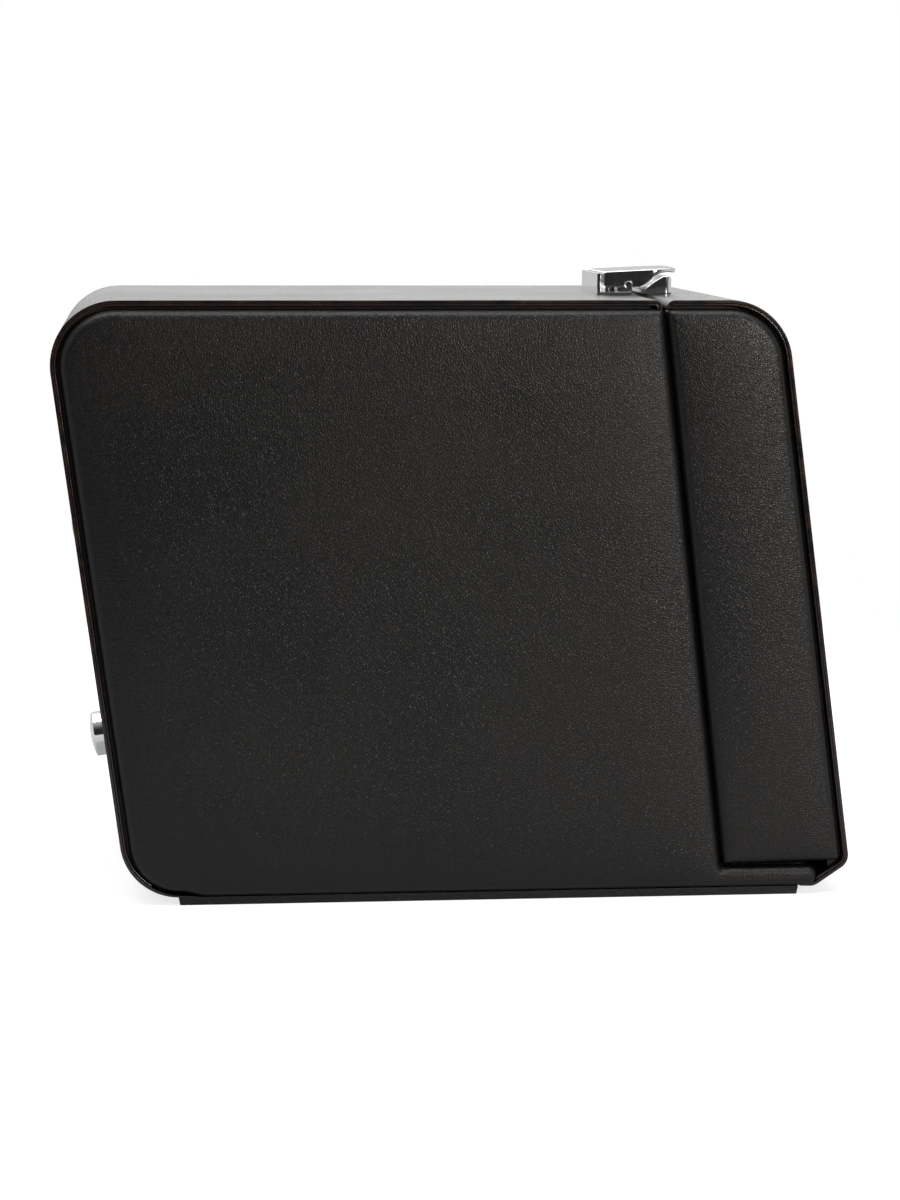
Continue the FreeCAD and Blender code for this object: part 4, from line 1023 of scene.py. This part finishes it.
finish_cad(["base_plate"], leather, 0.5 * MM, 3)
finish_cad(["main_frame", "lid_frame", "bottom_board", "partition", "near_side_board", "far_side_board",
            "near_lid_side_board", "far_lid_side_board", "shelf_bearers", "lower_shelf", "middle_shelf",
            "top_shelf"], black_wood, 0.3 * MM)
finish_cad(["near_drawer_guides", "far_drawer_guides"], walnut, 0.3 * MM)
finish_cad(["lower_drawer_front", "upper_drawer_front"], black_wood, 0.25 * MM)
finish_cad(["lower_drawer_box", "upper_drawer_box"], walnut, 0.5 * MM)
finish_cad(["chip_rack", "drawer_chip_tray", "accessory_insert", "lid_lining"], suede, 0.4 * MM)
finish_cad(["latch_lever", "latch_keeper"], chrome, 0.4 * MM, 3, clamp=False)
finish_cad(["latch_base"], chrome, 0.25 * MM, 3)
finish_cad(["lower_drawer_knob", "upper_drawer_stud"], chrome, 0.4 * MM, 3)
finish_cad(["latch_pin"], chrome, 0.2 * MM)
finish_cad(["base_screws", "latch_screws", "keeper_screws", "lower_drawer_screw", "upper_drawer_screw",
            "latch_spring"], steel, 0.12 * MM)
finish_cad(["dice", "dealer_button"], ivory)


# ------------------------------------------------------------------ camera, floor and light


CAMERA_PLACE = (-0.1152, -1.1072, 0.2444)
CAMERA_TURN = (5.560, 7.704, 0.191)
CAMERA_LENS = 92.88
FLOOR_RADIUS = 0.62
FLOOR_SIDES = 96
FLOOR_GLOW = 0.17
FLOOR_SEEN = 0.75
WORLD_FRONT, WORLD_BACK, WORLD_TOP = 0.02, 0.6, 0.25


def look_camera():
    """The photograph's viewpoint: slightly left of centre, looking a little down and to the right."""
    yaw, pitch, roll = (math.radians(angle) for angle in CAMERA_TURN)
    forward = Vector((math.sin(yaw) * math.cos(pitch), math.cos(yaw) * math.cos(pitch), -math.sin(pitch)))
    right = Vector((math.cos(yaw), -math.sin(yaw), 0))
    up = right.cross(forward)
    x_axis = right * math.cos(roll) + up * math.sin(roll)
    y_axis = -right * math.sin(roll) + up * math.cos(roll)
    data = bpy.data.cameras.new("camera")
    data.lens = CAMERA_LENS
    data.sensor_width = 36
    data.clip_start, data.clip_end = 0.05, 30
    camera = bpy.data.objects.new("camera", data)
    bpy.context.scene.collection.objects.link(camera)
    turn = Matrix((x_axis, y_axis, -forward)).transposed().to_4x4()
    camera.matrix_world = Matrix.Translation(CAMERA_PLACE) @ turn
    bpy.context.scene.camera = camera


def soft_light(name, place, target, size, power, colour=(1, 1, 1)):
    data = bpy.data.lights.new(name, "AREA")
    data.shape = "RECTANGLE"
    data.size, data.size_y = size
    data.energy = power
    data.color = colour
    light = bpy.data.objects.new(name, data)
    light.location = place
    light.rotation_euler = (Vector(target) - Vector(place)).to_track_quat("-Z", "Y").to_euler()
    bpy.context.scene.collection.objects.link(light)


def pale_floor():
    """A round pale floor, which looks brighter when seen directly than it lights the case."""
    bm = bmesh.new()
    angles = np.linspace(0, 2 * math.pi, FLOOR_SIDES, endpoint=False)
    rings = [[bm.verts.new((radius * math.cos(a), radius * math.sin(a), 0.0)) for a in angles]
             for radius in (FLOOR_RADIUS * 0.5, FLOOR_RADIUS)]
    bm.faces.new(rings[0])
    for i in range(FLOOR_SIDES):
        j = (i + 1) % FLOOR_SIDES
        bm.faces.new((rings[0][i], rings[1][i], rings[1][j], rings[0][j]))
    mesh = bpy.data.meshes.new("floor")
    bm.to_mesh(mesh)
    bm.free()
    floor = bpy.data.objects.new("floor", mesh)
    bpy.context.scene.collection.objects.link(floor)
    material, tree, principled = shader("studio_floor")
    principled.inputs["Base Color"].default_value = (0.4, 0.4, 0.4, 1)
    principled.inputs["Roughness"].default_value = 0.9
    path = add_node(tree, "ShaderNodeLightPath").outputs["Is Camera Ray"]
    principled.inputs["Emission Color"].default_value = (1, 1, 1, 1)
    tree.links.new(spread(tree, path, 0.0, 1.0, FLOOR_GLOW, FLOOR_SEEN), principled.inputs["Emission Strength"])
    mesh.materials.append(material)


def surroundings():
    """Light from behind and above the case, little from the side of the lens; white when seen directly."""
    world = bpy.data.worlds.new("studio")
    world.use_nodes = True
    bpy.context.scene.world = world
    tree = world.node_tree
    direction = add_node(tree, "ShaderNodeTexCoord").outputs["Generated"]
    parts = add_node(tree, "ShaderNodeSeparateXYZ", [("Vector", direction)]).outputs
    back = spread(tree, parts[1], -0.85, -0.2, WORLD_FRONT, WORLD_BACK)
    above = spread(tree, parts[2], 0.35, 1.0, 0.0, WORLD_TOP)
    path = add_node(tree, "ShaderNodeLightPath").outputs["Is Camera Ray"]
    strength = maths(tree, "MAXIMUM", maths(tree, "ADD", back, above), path)
    background = tree.nodes["Background"]
    background.inputs["Color"].default_value = (1.0, 1.0, 1.0, 1)
    tree.links.new(strength, background.inputs["Strength"])


look_camera()
pale_floor()
surroundings()
soft_light("overhead_box", (0.0, -0.5, 1.25), (0, 0, 0.15), (1.3, 0.22), 7.5)
soft_light("ceiling_box", (-0.05, 0.1, 1.15), (-0.03, 0, 0.2), (1.5, 0.75), 4.0)
soft_light("right_strip", (0.66, -1.33, 0.46), (0.05, 0, 0.13), (0.18, 0.4), 8.0, (1.0, 0.93, 0.88))
soft_light("back_box", (-0.2, 1.7, 0.9), (0, 0, 0.15), (2.4, 0.9), 12)
bpy.context.scene.view_settings.view_transform = "Standard"
